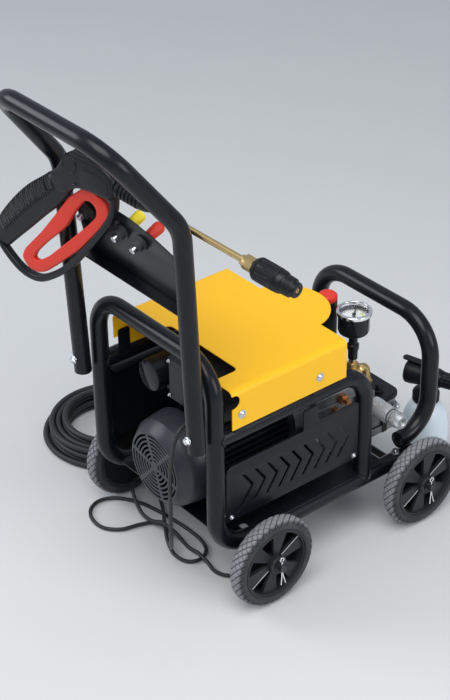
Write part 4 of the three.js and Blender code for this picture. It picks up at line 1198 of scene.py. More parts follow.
@dataclass
class Electrics(Assembly):
    """The electrical box with its rocker switch, and the capacitor's round can beside it."""

    x0: float = -58.0
    x1: float = 62.0
    y0: float = -140.0
    y1: float = 6.0
    z0: float = 392.0
    z1: float = 486.0

    def build(self) -> None:
        """Builds the box, lid, switch, screws and capacitor can."""
        s = Surface()
        body = softened([(self.x0, self.y0), (self.x1, self.y0), (self.x1, self.y1), (self.x0, self.y1)], 9,
                        6)
        s.prism(body, self.z1 - self.z0 - 14, vec(0, 0, self.z0), X, Y)
        s.box((-20, -70, 362), (30, -10, self.z0 + 1))
        self.piece("electrical_box", s, self.fin.black_plastic, "plastic_black", replaces=["control_box"],
                   bevel=1.4)
        lid = Surface().prism(softened([(self.x0 - 0.8, self.y0 - 0.8), (self.x1, self.y0 - 0.8),
                                        (self.x1, self.y1 + 0.8),
                                        (self.x0 - 0.8, self.y1 + 0.8)], 9, 6), 13, vec(0, 0, self.z1 - 13.6),
                              X, Y)
        self.piece("electrical_box_lid", lid, self.fin.black_plastic, "plastic_black", bevel=1.6)
        frame = Surface()
        for low, high in (((-1.6, -110, 425.5), (0, -107, 458.5)), ((-1.6, -83, 425.5), (0, -80, 458.5)),
                          ((-1.6, -107, 425.5), (0, -83, 428.5)), ((-1.6, -107, 455.5), (0, -83, 458.5))):
            frame.box((low[0] + self.x0, low[1], low[2]), (high[0] + self.x0, high[1], high[2]))
        self.piece("switch_frame", frame, self.fin.shiny_plastic, "plastic_black", bevel=0.4)
        rocker = Surface().prism(softened([(10, 431), (10, 453), (-4, 453), (-0.5, 442), (-1, 431)], 1.4, 4),
                                 20,
                                 vec(self.x0, -85, 0), X, Z)
        self.piece("switch_rocker", rocker, self.fin.red_plastic, "plastic_red", body="rocker_switch",
                   replaces=["rocker_switch"], bevel=0.8)
        for i, (y, z) in enumerate(((-132, 480), (-2, 480), (-132, 400), (-2, 400))):
            self.screw(f"box_screw_{i}", vec(self.x0 - 0.9, y, z), -X, 2.8)
        can = Surface().revolve([(-62, 0), (-62, 30), (-60, 33.4), (-57, 34), (100, 34), (103, 33), (110, 28),
                                 (110, 0)],
                                vec(0, 66, 412), X, 96)
        can.box((-20, 30, 368), (60, 60, 400))
        self.piece("capacitor_can", can, self.fin.shiny_plastic, "plastic_black", replaces=["capacitor_box"])


@dataclass
class Pump(Assembly):
    """The plunger pump: flange, block, ribbed head, black cap, brass fittings and clear inlet filter."""

    y0: float = -116.0
    y1: float = 40.0

    def build(self) -> None:
        """Builds each casting and fitting."""
        axis = vec(0, -34, 272)
        s = Surface().revolve([(184.4, 0), (184.4, 66), (192, 66), (194, 60), (236, 58), (250, 58), (250, 0)],
                              axis, X, 80)
        s.prism(softened([(236, -106), (352, -106), (352, 34), (236, 34)], 14, 6), 120, vec(0, 0, 200), X, Y)
        s.box((240, -102, 153.3), (345, 30, 204))
        for z in (224, 250, 276, 302):
            s.prism(softened([(232, -110), (352, -110), (352, 38), (232, 38)], 16, 6), 5, vec(0, 0, z), X, Y)
        self.piece("pump_casing", s, self.fin.cast, "cast_aluminium", replaces=["pump_flange"], bevel=1.2,
                   crease=40)
        head = Surface()
        head.prism(softened([(352.4, -116), (402, -116), (402, 40), (352.4, 40)], 12, 6), 112, vec(0, 0, 156),
                   X, Y)
        for i in range(4):
            g = 0 if i % 2 else 4
            head.prism(softened([(352.4, self.y0 - g), (468 + g, self.y0 - g), (468 + g, self.y1 + g),
                                 (352.4, self.y1 + g)], 18, 6),
                       17.6, vec(0, 0, 156 + 18 * i), X, Y)
        straps = Surface()
        for z in (173.6, 191.6, 209.6):
            straps.prism(softened([(355, self.y0 - 1.2), (469, self.y0 - 1.2), (469, self.y1 + 1.2),
                                   (355, self.y1 + 1.2)], 16, 6),
                         2.6, vec(0, 0, z), X, Y)
        straps.box((418, self.y0 - 5.2, 156), (432, self.y0 + 6, 228.4))
        straps.box((462, -50, 156), (472.4, -36, 228.4))
        self.piece("pump_head_straps", straps, self.fin.black_plastic, "plastic_black", bevel=0.6)
        self.piece("pump_head_block", head, self.fin.cast, "cast_aluminium", replaces=["pump_head"],
                   bevel=1.6, crease=40)
        cap = Surface().prism(softened([(406, -120), (472, -120), (472, 44), (406, 44)], 24, 8), 14,
                              vec(0, 0, 228.9), X, Y)
        self.piece("pump_cap", cap, self.fin.black_plastic, "plastic_black", replaces=["pump_cover"], bevel=3)
        oil = Surface().revolve([(0, 0), (0, 10), (1, 10.4), (4, 10.2), (5, 8), (17, 7.4), (18.5, 6.4),
                                 (19, 0)],
                                vec(431, -92, 243.3), Z, 48)
        self.piece("oil_cap_knob", oil, self.fin.black_plastic, "plastic_black", body="oil_cap",
                   replaces=["oil_cap"])
        for i, (x, y) in enumerate(((366, -104), (366, 28), (390, -104), (390, 28))):
            self.bolt(f"head_bolt_{i}", vec(x, y, 268.1), Z, 10, 7.5)
        for i, z in enumerate((165, 183, 201)):
            self.bolt(f"valve_plug_{i}", vec(456, -120.5, z + 8), -Y, 15, 9.5)
        self.fittings()
        self.filter()

    def fittings(self) -> None:
        """The brass tee under the gauge, its elbow to the filter, and copper unions beside the block."""
        s = Surface()
        base = vec(340, -68, 321.4)
        s.revolve([(0, 0), (0, 13), (6, 14), (28, 14), (31, 12), (31, 0)], base, Z, 48)
        s.revolve([(0, 0), (0, 12), (2, 13), (58, 13), (60, 12), (60, 0)], vec(340, -52, 338), -Y, 48)
        s.hexagon(24, 10, vec(340, -112, 338), -Y)
        s.hexagon(20, 14, vec(340, -104, 348), Z)
        s.revolve([(0, 0), (0, 8), (10, 8), (10, 0)], vec(340, -104, 362), Z, 32)
        self.piece("brass_tee", s, self.fin.brass, "brass", replaces=["valve_block"])
        elbow = Surface().sweep(route([vec(353.8, -104, 338), vec(378, -104, 338), vec(384, -104, 290)],
                                      [0, 14, 0]), 8.5, 32)
        elbow.hexagon(21, 9, vec(354, -104, 338), X)
        elbow.hexagon(21, 10, vec(382.6, -104, 300), -Z)
        self.piece("brass_elbow", elbow, self.fin.brass, "brass", replaces=["inlet_elbow"])
        union = Surface()
        union.hexagon(20, 12, vec(309, -106, 286), -Y)
        union.revolve([(0, 0), (0, 7), (14, 7), (14, 0)], vec(309, -116, 286), -Y, 32)
        union.hexagon(17, 10, vec(290, -106, 262), -Y)
        self.piece("copper_unions", union, self.fin.copper, "brass")

    def filter(self) -> None:
        """The inlet filter: clear ribbed bowl with a mesh core, and a threaded nose towards the tap."""
        at = vec(384, self.y0 - 0.35, 246)
        shape = [(0, 0), (0, 13), (8, 13), (9, 20), (12, 21), (24, 21), (25, 20.2), (58, 19.6), (62, 17),
                 (64, 15.8), (70, 15.8),
                 (71, 17.8), (84, 17.8), (86, 15), (98, 14.4), (98, 10), (66, 10), (60, 16.5), (12, 17.5),
                 (10, 0)]
        self.piece("filter_bowl", Surface().revolve(shape, at, -Y, 64), self.fin.clear, "clear_plastic",
                   replaces=["inlet_filter"])
        core = Surface()
        for along in np.arange(14, 56, 2.6):
            core.revolve([(along, 9.6), (along, 11.2), (along + 1.2, 11.2), (along + 1.2, 9.6), (along, 9.6)],
                         at, -Y, 40)
        for i in range(6):
            a = i * math.pi / 3
            core.sweep(np.array([at + vec(0, -12, 0) + 10.4 * vec(math.cos(a), 0, math.sin(a)),
                                 at + vec(0, -58, 0) + 10.4 * vec(math.cos(a), 0, math.sin(a))]), 1.0, 8)
        self.piece("filter_core", core, self.fin.steel, "steel")
        seals = Surface()
        for along in (63, 72):
            seals.revolve([(along, 15.6), (along + 0.6, 17.2), (along + 2.4, 17.2), (along + 3, 15.6),
                           (along, 15.6)], at, -Y, 48)
        self.piece("filter_seals", seals, self.fin.rubber, "rubber_black")
        thread = Surface()
        for along in np.arange(86, 97, 2.4):
            thread.revolve([(along, 14.4), (along + 1.2, 15.6), (along + 2.4, 14.4), (along + 1.2, 14.0),
                            (along, 14.4)], at, -Y, 48)
        self.piece("filter_thread", thread, self.fin.zinc, "steel")


@dataclass
class Regulator(Assembly):
    """The pressure regulator: black barrel with a red hand knob on top."""

    foot: Array = field(default_factory=lambda: vec(334, -30, 321.7))

    def build(self) -> None:
        """Builds the barrel and the knob."""
        s = Surface().revolve([(0, 0), (0, 17), (56, 17), (58, 20), (61, 20.5), (150, 20.5), (152, 19.4),
                               (154, 20.5), (159, 20.5),
                               (160, 19.5), (160, 0)], self.foot, Z, 72)
        s.hexagon(38, 12, self.foot + Z * 20, Z)
        self.piece("regulator_barrel", s, self.fin.black_plastic, "plastic_black",
                   replaces=["regulator_body"])
        top = self.foot + Z * 160.35
        levels = [(0, 19, 0), (1, 20, 1), (10, 20, 1), (12, 19.4, 0), (14.4, 17, 0), (15, 15, 0),
                  (14.2, 9, 0),
                  (13.6, 0.4, 0)]
        knob = Surface().lobed(levels, 0.5 * np.sin(30 * circle(180)), top, Z, X, Y)
        self.piece("regulator_hand_knob", knob, self.fin.red_plastic, "plastic_red",
                   body="regulator_knob", replaces=["regulator_knob"])


@dataclass
class Gauge(Assembly):
    """The pressure gauge: glossy case, chrome bezel, card dial with ticks, needle and glass."""

    foot: Array = field(default_factory=lambda: vec(340, -104, 372.35))
    height: float = 112.0

    def build(self) -> None:
        """Builds the stem, case, bezel, dial, needle and glass."""
        h = self.height
        case = [(0, 0), (0, 10), (20, 10.5), (24, 12.5), (34, 12.5), (37, 9.4), (58, 9.4), (60, 18), (62, 26),
                (66, 31), (72, 33),
                (h - 4, 33), (h - 4, 30.6), (h - 14, 30.6), (h - 14, 3), (h - 8.6, 2.6), (h - 8.6, 0)]
        self.piece("gauge_can", Surface().revolve(case, self.foot, Z, 96), self.fin.shiny_plastic,
                   "plastic_black",
                   replaces=["gauge_case"])
        ring = softened([(h - 3.6, 30.6), (h - 3.6, 37.5), (h + 3.4, 37.5), (h + 5.4, 34), (h + 5.2, 31.2)],
                        1.4, 4)
        self.piece("gauge_rim", Surface().revolve(np.vstack([ring, ring[:1]]), self.foot, Z, 120),
                   self.fin.chrome, "chrome",
                   replaces=["gauge_bezel"])
        card = Surface().revolve([(h - 13.8, 0), (h - 13.8, 30.3), (h - 12.8, 30.3), (h - 12.8, 0)],
                                 self.foot, Z, 96)
        self.piece("gauge_card", card, self.fin.dial, "plastic_yellow")
        ink = Surface()
        face = self.foot + Z * (h - 12.75)
        for i in range(41):
            a = math.radians(217 - i * 270 / 40 - 16)
            u = vec(math.cos(a), math.sin(a), 0)
            long = 6.2 if i % 5 == 0 else 3.6
            ink.prism([(28.6 - long, -0.5), (28.6, -0.5), (28.6, 0.5), (28.6 - long, 0.5)], 0.25, face, u,
                      np.cross(Z, u))
        arc = np.radians(np.linspace(-69, 201, 72))
        line = np.stack([face[0] + 28.8 * np.cos(arc), face[1] + 28.8 * np.sin(arc),
                         np.full_like(arc, face[2] + 0.12)], 1)
        ink.sweep(line, 0.3, 6)
        self.piece("gauge_scale", ink, self.fin.ink, "plastic_black")
        pin = self.foot + Z * (h - 7.6)
        u = vec(0.8, 0.6, 0)
        hand = Surface().prism([(-9, -2.2), (-7, -3), (0, -2.4), (26, -0.5), (26, 0.5), (0, 2.4), (-7, 3),
                                (-9, 2.2)], 1.0,
                               pin + Z * 0.4, u, np.cross(Z, u))
        hand.revolve([(0, 0), (0, 3.8), (2.6, 3.8), (3.2, 3.0), (3.2, 0)], pin, Z, 32)
        self.piece("gauge_hand", hand, self.fin.ink, "plastic_black", body="gauge_needle",
                   replaces=["gauge_needle"])
        glass = Surface().revolve([(h - 2.6, 0), (h - 2.6, 30.4), (h - 1.2, 30.4), (h - 0.4, 26),
                                   (h + 0.2, 0)], self.foot, Z, 72)
        self.piece("gauge_glass", glass, self.fin.glass, "clear_plastic")
        sector = Surface()
        for a in np.radians(np.arange(-84, 6, 6.0)):
            u = vec(math.cos(a), math.sin(a), 0)
            sector.prism([(17, -1.0), (21.5, -1.26), (21.5, 1.26), (17, 1.0)], 0.2, face, u, np.cross(Z, u))
        self.piece("gauge_sector", sector, self.fin.lime, "plastic_yellow")


@dataclass
class Gun(Assembly):
    """The trigger gun in its own plane, s along the barrel and t up, with the lance and its nozzle head."""

    at0: Array = field(default_factory=lambda: vec(-133, -186, 875))
    s: Array = field(default_factory=lambda: unit(vec(0.172, -0.985, -0.095)))
    grip_width: float = 34.0
    trigger_width: float = 12.6
    nut_end: float = 145.0

    def __post_init__(self) -> None:
        """Works out the plane's normal and its up direction."""
        self.n = unit(np.cross(Z, self.s))
        self.t = unit(np.cross(self.s, self.n))

    def at(self, s: float, t: float = 0.0, n: float = 0.0) -> Array:
        """A point in the gun's plane, and off it."""
        return self.at0 + self.s * s + self.t * t + self.n * n

    def barrel(self, s: float) -> Array:
        """A point on the lance's line, which runs slightly downhill."""
        return self.at(s, -4 - 0.045 * s)

    def build(self) -> None:
        """Builds the shells, grip, guard, trigger, lance and inlet."""
        self.shells()
        self.grip()
        self.trigger()
        self.lance()
        self.inlet()

    def shells(self) -> None:
        """The two half shells round the valve, the seam between them, their pads and their screws."""
        shell = [(-181, 18), (-192, 31), (-214, 39), (-250, 41), (-294, 40), (-312, 20), (-327, -10),
                 (-345, -28), (-322, -62),
                 (-300, -52), (-290, -42), (-272, -30), (-230, -24), (-183, -22)]
        for tag, side in (("near", -1), ("far", 1)):
            half = self.grip_width / 2 - 0.35
            middle = self.at(0, 0, side * (0.35 + half / 2))
            self.bench.plate(f"gun_shell_{tag}", [softened(shell, 12, 6)], half, 7.4, middle, self.s, self.t,
                             self.fin.black_plastic, CART, "plastic_black", ["gun_body"] if side < 0 else [],
                             rounds=5)
        seam = Surface().prism(softened(shell, 9, 6) * 0.985 + np.array([-3.8, 0]), 1.6, self.at(0, 0, -0.8),
                               self.s, self.t)
        self.piece("gun_seam", seam, self.fin.rubber, "plastic_black")
        for tag, side in (("near", -1), ("far", 1)):
            relief = Surface()
            flat = [(0, 0), (0, 19.5), (0.9, 19.2), (1.8, 18), (1.8, 15.5), (1.0, 14.8), (1.0, 0)]
            relief.revolve(flat, self.at(-291, 14, side * 16.7), self.n * side, 48)
            self.piece(f"gun_boss_{tag}", relief, self.fin.black_plastic, "plastic_black")
            pad = softened([(-262, -18), (-262, 22), (-194, 20), (-190, -8), (-200, -16)], 12, 6)
            self.bench.plate(f"gun_pad_{tag}", [pad], 2.4, 1.1, self.at(0, 0, side * 16.9), self.s, self.t,
                             self.fin.black_plastic,
                             CART, "plastic_black")
            for i, (s, t) in enumerate(((-276, -22), (-300, 34), (-188, -18))):
                self.screw(f"gun_screw_{i}_{tag}", self.at(s, t, side * 16.2), self.n * side, 2.2,
                           self.fin.dark_steel)

    def grip(self) -> None:
        """The grip and the guard below it.

        The grip's section is an oval carried down its middle line. Its radius swells where a rib stands:
        ribs follow sin of the arc length and fade out on the trigger's side.
        """
        mid = even(smooth_route([self.at(-314, -32), self.at(-348, -72), self.at(-391, -115),
                                 self.at(-430, -160),
                                 self.at(-468, -208), self.at(-486, -234)], 2.0), 1.0)
        run = np.linspace(0, arc_length(mid), len(mid))
        tangent = np.gradient(mid, axis=0)
        tangent /= np.linalg.norm(tangent, axis=1)[:, None]
        v = np.broadcast_to(self.n, mid.shape)
        u = np.cross(v, tangent)
        u *= np.sign(u @ (self.at(0, 1) - self.at(0, 0)))[:, None]
        a = circle(72)
        back = np.clip((np.cos(a) + 0.25) / 0.4, 0, 1)
        ribbed = np.clip((run - 22) / 6, 0, 1) * np.clip((run[-1] - 30 - run) / 6, 0, 1)
        wave = np.clip(np.cos(2 * math.pi * run / 8.6) * 2.6, -1, 1)
        swell = 1 + 0.10 * (back[None] * (ribbed * wave)[:, None])
        ends = np.clip(np.minimum(run / 2.5 + 0.75, (run[-1] - run) / 5 + 0.45), 0, 1)[:, None]
        belly = 33.0 - 8.0 * (2 * run / run[-1] - 1) ** 2
        rows = mid[:, None] + (belly[:, None] * ends * swell * np.cos(a))[..., None] * u[:, None] \
            + (16.2 * ends * swell * np.sin(a))[..., None] * v[:, None]
        self.piece("gun_grip", Surface().grid(rows), self.fin.black_plastic, "plastic_black", crease=60)
        line = smooth_route([self.at(-500, -232), self.at(-486, -254), self.at(-458, -275),
                             self.at(-432, -287),
                             self.at(-405, -290), self.at(-378, -284), self.at(-345, -262),
                             self.at(-305, -224),
                             self.at(-268, -176), self.at(-228, -120), self.at(-197, -68), self.at(-190, -42),
                             self.at(-190, -14)], 4.0)
        t = circle(28)
        box = np.stack([np.sign(np.cos(t)) * np.abs(np.cos(t))**0.6 * 7.2,
                        np.sign(np.sin(t)) * np.abs(np.sin(t))**0.6 * 8.8], 1)
        self.piece("gun_guard", Surface().sweep(line, 1.0, section=box, up=self.n), self.fin.black_plastic,
                   "plastic_black")

    def trigger(self) -> None:
        """The red loop: an outline with a finger hole, and a raised rim round it."""
        around = [(-272, -36), (-266, -26), (-262, -6), (-240, -6), (-236, -30), (-216, -33), (-201, -44),
                  (-198, -63),
                  (-220, -99), (-271, -167), (-324, -223), (-361, -260), (-384, -273), (-410, -274),
                  (-429, -256), (-421, -234),
                  (-376, -176), (-334, -114), (-303, -66)]
        finger = [(-261, -55), (-246, -51), (-230, -61), (-231, -78), (-251, -104), (-297, -157),
                  (-356, -223), (-383, -246),
                  (-397, -246), (-389, -228), (-361, -193), (-329, -158), (-307, -131), (-282, -84)]
        t = circle(24)
        eye = np.stack([-250 + 3.1 * np.cos(t), -16 + 3.1 * np.sin(t)], 1)
        self.bench.plate("trigger_loop", [softened(around, 10, 6), softened(finger, 9, 6), eye],
                         self.trigger_width, 3.4,
                         self.at(0), self.s, self.t, self.fin.red_plastic, "trigger", "plastic_red",
                         ["gun_trigger"], rounds=5)

    def lance(self) -> None:
        """The ribbed sleeve, the brass tube with its nut, and the turning nozzle head."""
        way = unit(self.barrel(1) - self.barrel(0))
        ribs: list[tuple[float, float]] = []
        for i in range(6):
            ribs += [(i * 9 + 3, 16.6), (i * 9 + 8, 16.4), (i * 9 + 8.6, 14.2), (i * 9 + 11.4, 14.2)]
        sleeve = [(0, 6.3), (0, 16.6), *ribs, (60, 15.4), (72, 13.4), (82, 10), (84, 6.3), (0, 6.3)]
        self.piece("lance_sleeve", Surface().revolve(sleeve, self.barrel(-180) + way * 0.35, way, 56),
                   self.fin.black_plastic,
                   "plastic_black", replaces=["gun_sleeve"], crease=25)
        tube = Surface().sweep(np.array([self.barrel(-198), self.barrel(128)]), 5.9, 40)
        tube.hexagon(24.5, 22, self.barrel(121), way)
        tube.revolve([(0, 0), (0, 9), (8, 9), (8, 0)], self.barrel(114), way, 40)
        self.piece("lance_pipe", tube, self.fin.brass, "brass", replaces=["lance_tube"])
        start = self.barrel(self.nut_end) + way * 0.35
        steps = [(0, 14, 0), (0.4, 17.5, 0), (5, 21, 0), (8, 22, 0), (9, 20.6, 0), (11, 20.6, 0), (12, 22, 0),
                 (15, 22, 1), (38, 22, 1),
                 (41, 22, 0), (50, 22, 0), (51.5, 20.4, 0), (54, 20.4, 0), (55.5, 21.6, 0), (60, 21, 0),
                 (64, 19.4, 0), (66, 17, 0),
                 (68, 16.6, 0), (69, 18.4, 0), (82, 17.8, 0), (84, 15, 0), (92, 14.4, 0), (94, 13, 0),
                 (94, 7, 0), (88, 5.4, 0),
                 (88, 0.3, 0)]
        grooves = -1.3 * np.clip(np.sin(12 * circle(144)) * 1.6, 0, 1)
        head = Surface().lobed(steps, grooves, start, way, *side_of(way))
        self.piece("nozzle_head", head, self.fin.black_plastic, "plastic_black", body="lance_head",
                   replaces=["lance_head"], crease=25)
        tip = Surface().revolve([(86, 0), (86, 4.6), (93, 4.6), (93, 2), (90, 1.6), (90, 0)], start, way, 32)
        self.piece("nozzle_tip", tip, self.fin.brass, "brass", body="lance_head")

    def inlet(self) -> None:
        """The threaded brass inlet at the grip's foot."""
        way = unit(self.at(-0.62, -0.78) - self.at(0))
        at = self.at(-505, -237) + way * 3
        s = Surface().revolve([(0, 0), (0, 9), (6, 9), (6, 12), (20, 12), (20, 8), (34, 8), (34, 5), (26, 5),
                               (26, 0)], at, way, 48)
        for along in np.arange(21.5, 33, 2.2):
            s.revolve([(along, 7.8), (along + 1.1, 8.9), (along + 2.2, 7.8), (along + 1.1, 7.4),
                       (along, 7.8)], at, way, 40)
        s.hexagon(24, 13, at + way * 6.4, way)
        self.piece("gun_inlet_fitting", s, self.fin.zinc, "brass", replaces=["gun_inlet"])


@dataclass
class FoamCannon(Assembly):
    """The foam cannon standing in front: milky bottle, black head with a lever, and a turning fan nozzle."""

    at: Array = field(default_factory=lambda: vec(578, -92, 0))

    def build(self) -> None:
        """Builds the bottle, head and nozzle."""
        outer = [(0.2, 0), (0.2, 44), (2, 48.5), (6, 51.4), (10, 52.4), (78, 53.8), (84, 53.9), (100, 52.6),
                 (120, 49), (138, 42.4), (150, 35.4),
                 (156, 28), (158, 24), (160, 24)]
        inner = [(160, 21.6), (156, 22), (148, 32), (136, 40), (118, 46.8), (100, 50.4), (80, 51.6),
                 (10, 50.2), (5, 48), (3, 44), (3, 0)]
        self.piece("foam_bottle_wall", Surface().revolve([*outer, *inner], self.at, Z, 96), self.fin.bottle,
                   "bottle_plastic",
                   replaces=["foam_bottle"])
        levels = [(160.4, 22, 0), (160.4, 28.5, 0), (161.5, 29.2, 1), (180, 29.2, 1), (184, 27.5, 0),
                  (186, 20, 0),
                  (187, 16, 0), (214, 15.4, 0)]
        s = Surface().lobed(levels, 0.9 * np.sign(np.sin(36 * circle(160))), self.at, Z, X, Y)
        way = unit(vec(32, -78, 0))
        back, mid = self.at + vec(-18, 44, 222), self.at + Z * 222
        s.revolve([(-2, 0), (-2, 17), (-1, 23), (3, 26.6), (14, 27), (26, 25.4), (40, 24), (60, 23.4),
                   (74, 22), (80, 20), (84.2, 19), (84.2, 0)],
                  back, way, 72)
        self.piece("foam_head_body", s, self.fin.black_plastic, "plastic_black", replaces=["foam_head"],
                   crease=30)
        lever = Surface()
        lever.revolve([(20, 0), (20, 9), (24, 9), (24, 0)], mid, Z, 32)
        side = np.cross(Z, way)
        lever.prism(softened([(-58, -9), (12, -9), (12, 9), (-58, 9)], 9, 6), 4, mid + Z * 26,
                    unit(way - Z * 0.10), side)
        lever.prism(softened([(-24, -6), (6, -6), (6, 6), (-24, 6)], 4, 4), 4, mid + Z * 22.5, way, side)
        self.piece("foam_lever", lever, self.fin.black_plastic, "plastic_black", bevel=1.2)
        spout = self.at + vec(14, -34, 222) + way * 0.35
        levels = [(0, 16, 0), (0.6, 18, 0), (2, 18, 1), (24, 18, 1), (26, 17.4, 0), (30, 12, 0), (43, 8.6, 0),
                  (44, 7.6, 0),
                  (44, 3, 0), (36, 2.4, 0), (36, 0.2, 0)]
        nozzle = Surface().lobed(levels, -1.2 * np.clip(np.sin(10 * circle(96)), 0, 1), spout, way,
                                 *side_of(way))
        self.piece("foam_nozzle", nozzle, self.fin.black_plastic, "plastic_black",
                   body="foam_fan_nozzle", replaces=["foam_fan_nozzle"], crease=30)


@dataclass
class Cords(Assembly):
    """The mains lead, its spare length wound up under the cart, and the high-pressure hose in its coil."""

    lead_r: float = 4.0
    hose_r: float = 7.0
    gland: Array = field(default_factory=lambda: vec(-58.35, -120, 418))
    lead_coil: Array = field(default_factory=lambda: vec(200, 40, 0))
    hose_coil: Array = field(default_factory=lambda: vec(100, 442, 0))
    port: Array = field(default_factory=lambda: vec(334, 34.35, 228))

    def wound(self, centre: Array, turns: Array, start: float, radius: Callable[[Array], Array],
              height: Callable[[Array], Array]) -> Array:
        """A winding: at each number of turns, the point at that angle, radius and height about the centre."""
        a = start + 2 * math.pi * turns
        return np.stack([centre[0] + radius(turns) * np.cos(a), centre[1] + radius(turns) * np.sin(a),
                         height(turns)], 1)

    def build(self) -> None:
        self.lead()
        self.hose()

    def lead(self) -> None:
        """The mains lead, from the box's gland over the floor to its plug."""
        floor = [(-66, -120, 418), (-100, -120, 418), (-128, -122, 408), (-146, -124, 378), (-151, -116, 300),
                 (-150, -113, 220),
                 (-146, -106, 165), (-128, -82, 108), (-98, -40, 56), (-66, 6, 24), (-40, 40, 9),
                 (-26, 72, 5), (-30, 100, 5),
                 (-62, 117, 5), (-104, 130, 5), (-130, 160, 5), (-130, 200, 5), (-112, 230, 5), (-84, 242, 5),
                 (-56, 234, 5),
                 (-34, 212, 5), (-16, 178, 5), (-4, 130, 5), (3, 80, 5), (6, 30, 5), (3, -14, 5),
                 (-10, -44, 5), (-38, -58, 5),
                 (-62, -46, 5), (-69, -12, 6), (-60, 22, 14), (-40, 58, 22), (-14, 96, 14), (10, 134, 10),
                 (22, 168, 24),
                 (18, 198, 40), (0, 210, 48), (-20, 200, 42), (-34, 170, 24), (-42, 136, 13), (-44, 100, 16),
                 (-41, 66, 30),
                 (-36, 30, 24), (-33, -14, 8), (-33, -46, 13), (-35, -80, 10), (-38, -110, 6), (-26, -136, 5),
                 (4, -148, 5),
                 (44, -144, 5), (84, -122, 5), (118, -88, 5), (146, -54, 5), (168, -34, 5)]
        turns = np.arange(0.02, 5.98, 1 / 16)
        coil = self.wound(self.lead_coil, turns, -math.pi / 2,
                          lambda t: np.where(t < 3, 61.5 - 8.9 * t, 34.8 + 8.9 * (t - 3)),
                          lambda t: 4.6 + 8.4 * np.clip((t - 2.85) / 0.3, 0, 1))
        tail = [(222, -23, 13.2), (248, -29, 19.6), (264.8, -29, 20.6)]
        line = smooth_route([self.gland - vec(0.5, 0, 0), *floor, *coil, *tail], 6.0)
        tube = self.piece("lead", Surface().sweep(line, self.lead_r, 16), self.fin.cord, "rubber_black",
                          replaces=["mains_lead", "mains_coil"])
        relief = Surface()
        rings = [(0, 4.4), (0, 11), (9, 11), (10, 9.4), (12, 9.4)]
        for i in range(5):
            rings += [(13 + i * 4.4, 8.4 - i * 0.4), (15.6 + i * 4.4, 8.2 - i * 0.4),
                      (15.9 + i * 4.4, 6.2 - i * 0.2),
                      (17 + i * 4.4, 6.2 - i * 0.2)]
        relief.revolve([*rings, (34, 5.6), (34, 4.4), (0, 4.4)], self.gland, -X, 40)
        gland = self.piece("lead_strain_relief", relief, self.fin.black_plastic, "plastic_black",
                           replaces=["cable_gland"])
        at = vec(266, -29, 20.6)
        plug = Surface().revolve([(-0.6, 4.3), (-0.6, 6), (28, 8), (33, 17), (36, 19.6), (54, 19.6),
                                  (56, 18.4), (56, 0), (4, 0), (4, 4.3)],
                                 at, X, 48)
        end = self.piece("lead_plug", plug, self.fin.black_plastic, "plastic_black", replaces=["mains_plug"])
        pins = Surface()
        for y in (-9.5, 9.5):
            pins.revolve([(55, 0), (55, 2.3), (58, 2.4), (58, 0)], at + vec(0, y, 0), X, 16)
        prongs = self.piece("lead_plug_pins", pins, self.fin.brass, "brass")
        row = self.bench.row(line)

    def hose(self) -> None:
        """The hose, from the pump's far side between the wheels into its coil, and its end fitting on top."""
        first = [tuple(self.port + vec(0, y, 0)) for y in (44.7, 62.7)]
        way = [(337, 128, 220), (338, 158, 196), (337, 188, 174), (324, 214, 150), (302, 234, 108),
               (282, 250, 62), (266, 274, 22),
               (257, 302, 9), (255, 340, 8), (258.5, 380, 8)]
        turns = np.arange(0.0, 11.12, 1 / 16)

        def radius(t: Array) -> Array:
            """In, out, in and out again, 14.9 mm each turn, once the run has joined the outer turn."""
            first_in = 158.6 - 15.0 * t
            back = (t - 3.95) % 6
            saw = np.where(back < 3, 99.4 + 14.9 * back, 99.4 + 14.9 * (6 - back))
            return np.where(t < 3.95, first_in, np.clip(saw, 99.4, 143.6))

        def height(t: Array) -> Array:
            """8 mm on the floor, and 14.6 mm more for each layer, climbed over a fifth of a turn."""
            h = 8.0 + 0 * t
            for at in (3.85, 6.85, 9.85):
                h = h + 14.6 * np.clip((t - at) / 0.2, 0, 1)
            return h + 19.6 * np.clip((t - 10.86) / 0.2, 0, 1) ** 1.5

        coil = self.wound(self.hose_coil, turns, 0.0, radius, height)
        line = smooth_route([*first, *way, *coil], 9.0)
        tube = self.piece("hose", Surface().sweep(line, self.hose_r, 20), self.fin.cord, "rubber_black",
                          replaces=["hose_tube", "hose_coil"])
        at = self.port
        swivel = Surface().revolve([(0, 6), (0, 12), (1, 13), (4, 13), (4, 10.5), (20, 10.5), (22, 11.5),
                                    (43, 10), (44, 9), (44, 7.2), (20, 7.2), (20, 6), (0, 6)],
                                   at, Y, 40)
        swivel.hexagon(24, 12, at + Y * 5, Y)
        near = self.piece("hose_swivel_nut", swivel, self.fin.brass, "brass", replaces=["hose_swivel"])
        tip, before = line[-1], line[-2]
        out = unit(tip - before)
        nipple = Surface().revolve([(-14, 7.3), (-14, 9), (2, 9.4), (16, 9.4), (16, 7), (22, 7), (22, 12),
                                    (40, 12), (40, 5), (4, 5), (4, 7.3), (-14, 7.3)],
                                   tip, out, 40)
        nipple.hexagon(22, 9, tip + out * 10, out)
        end = self.piece("hose_end_fitting", nipple, self.fin.brass, "brass", replaces=["hose_fitting"])
        row = self.bench.row(line)


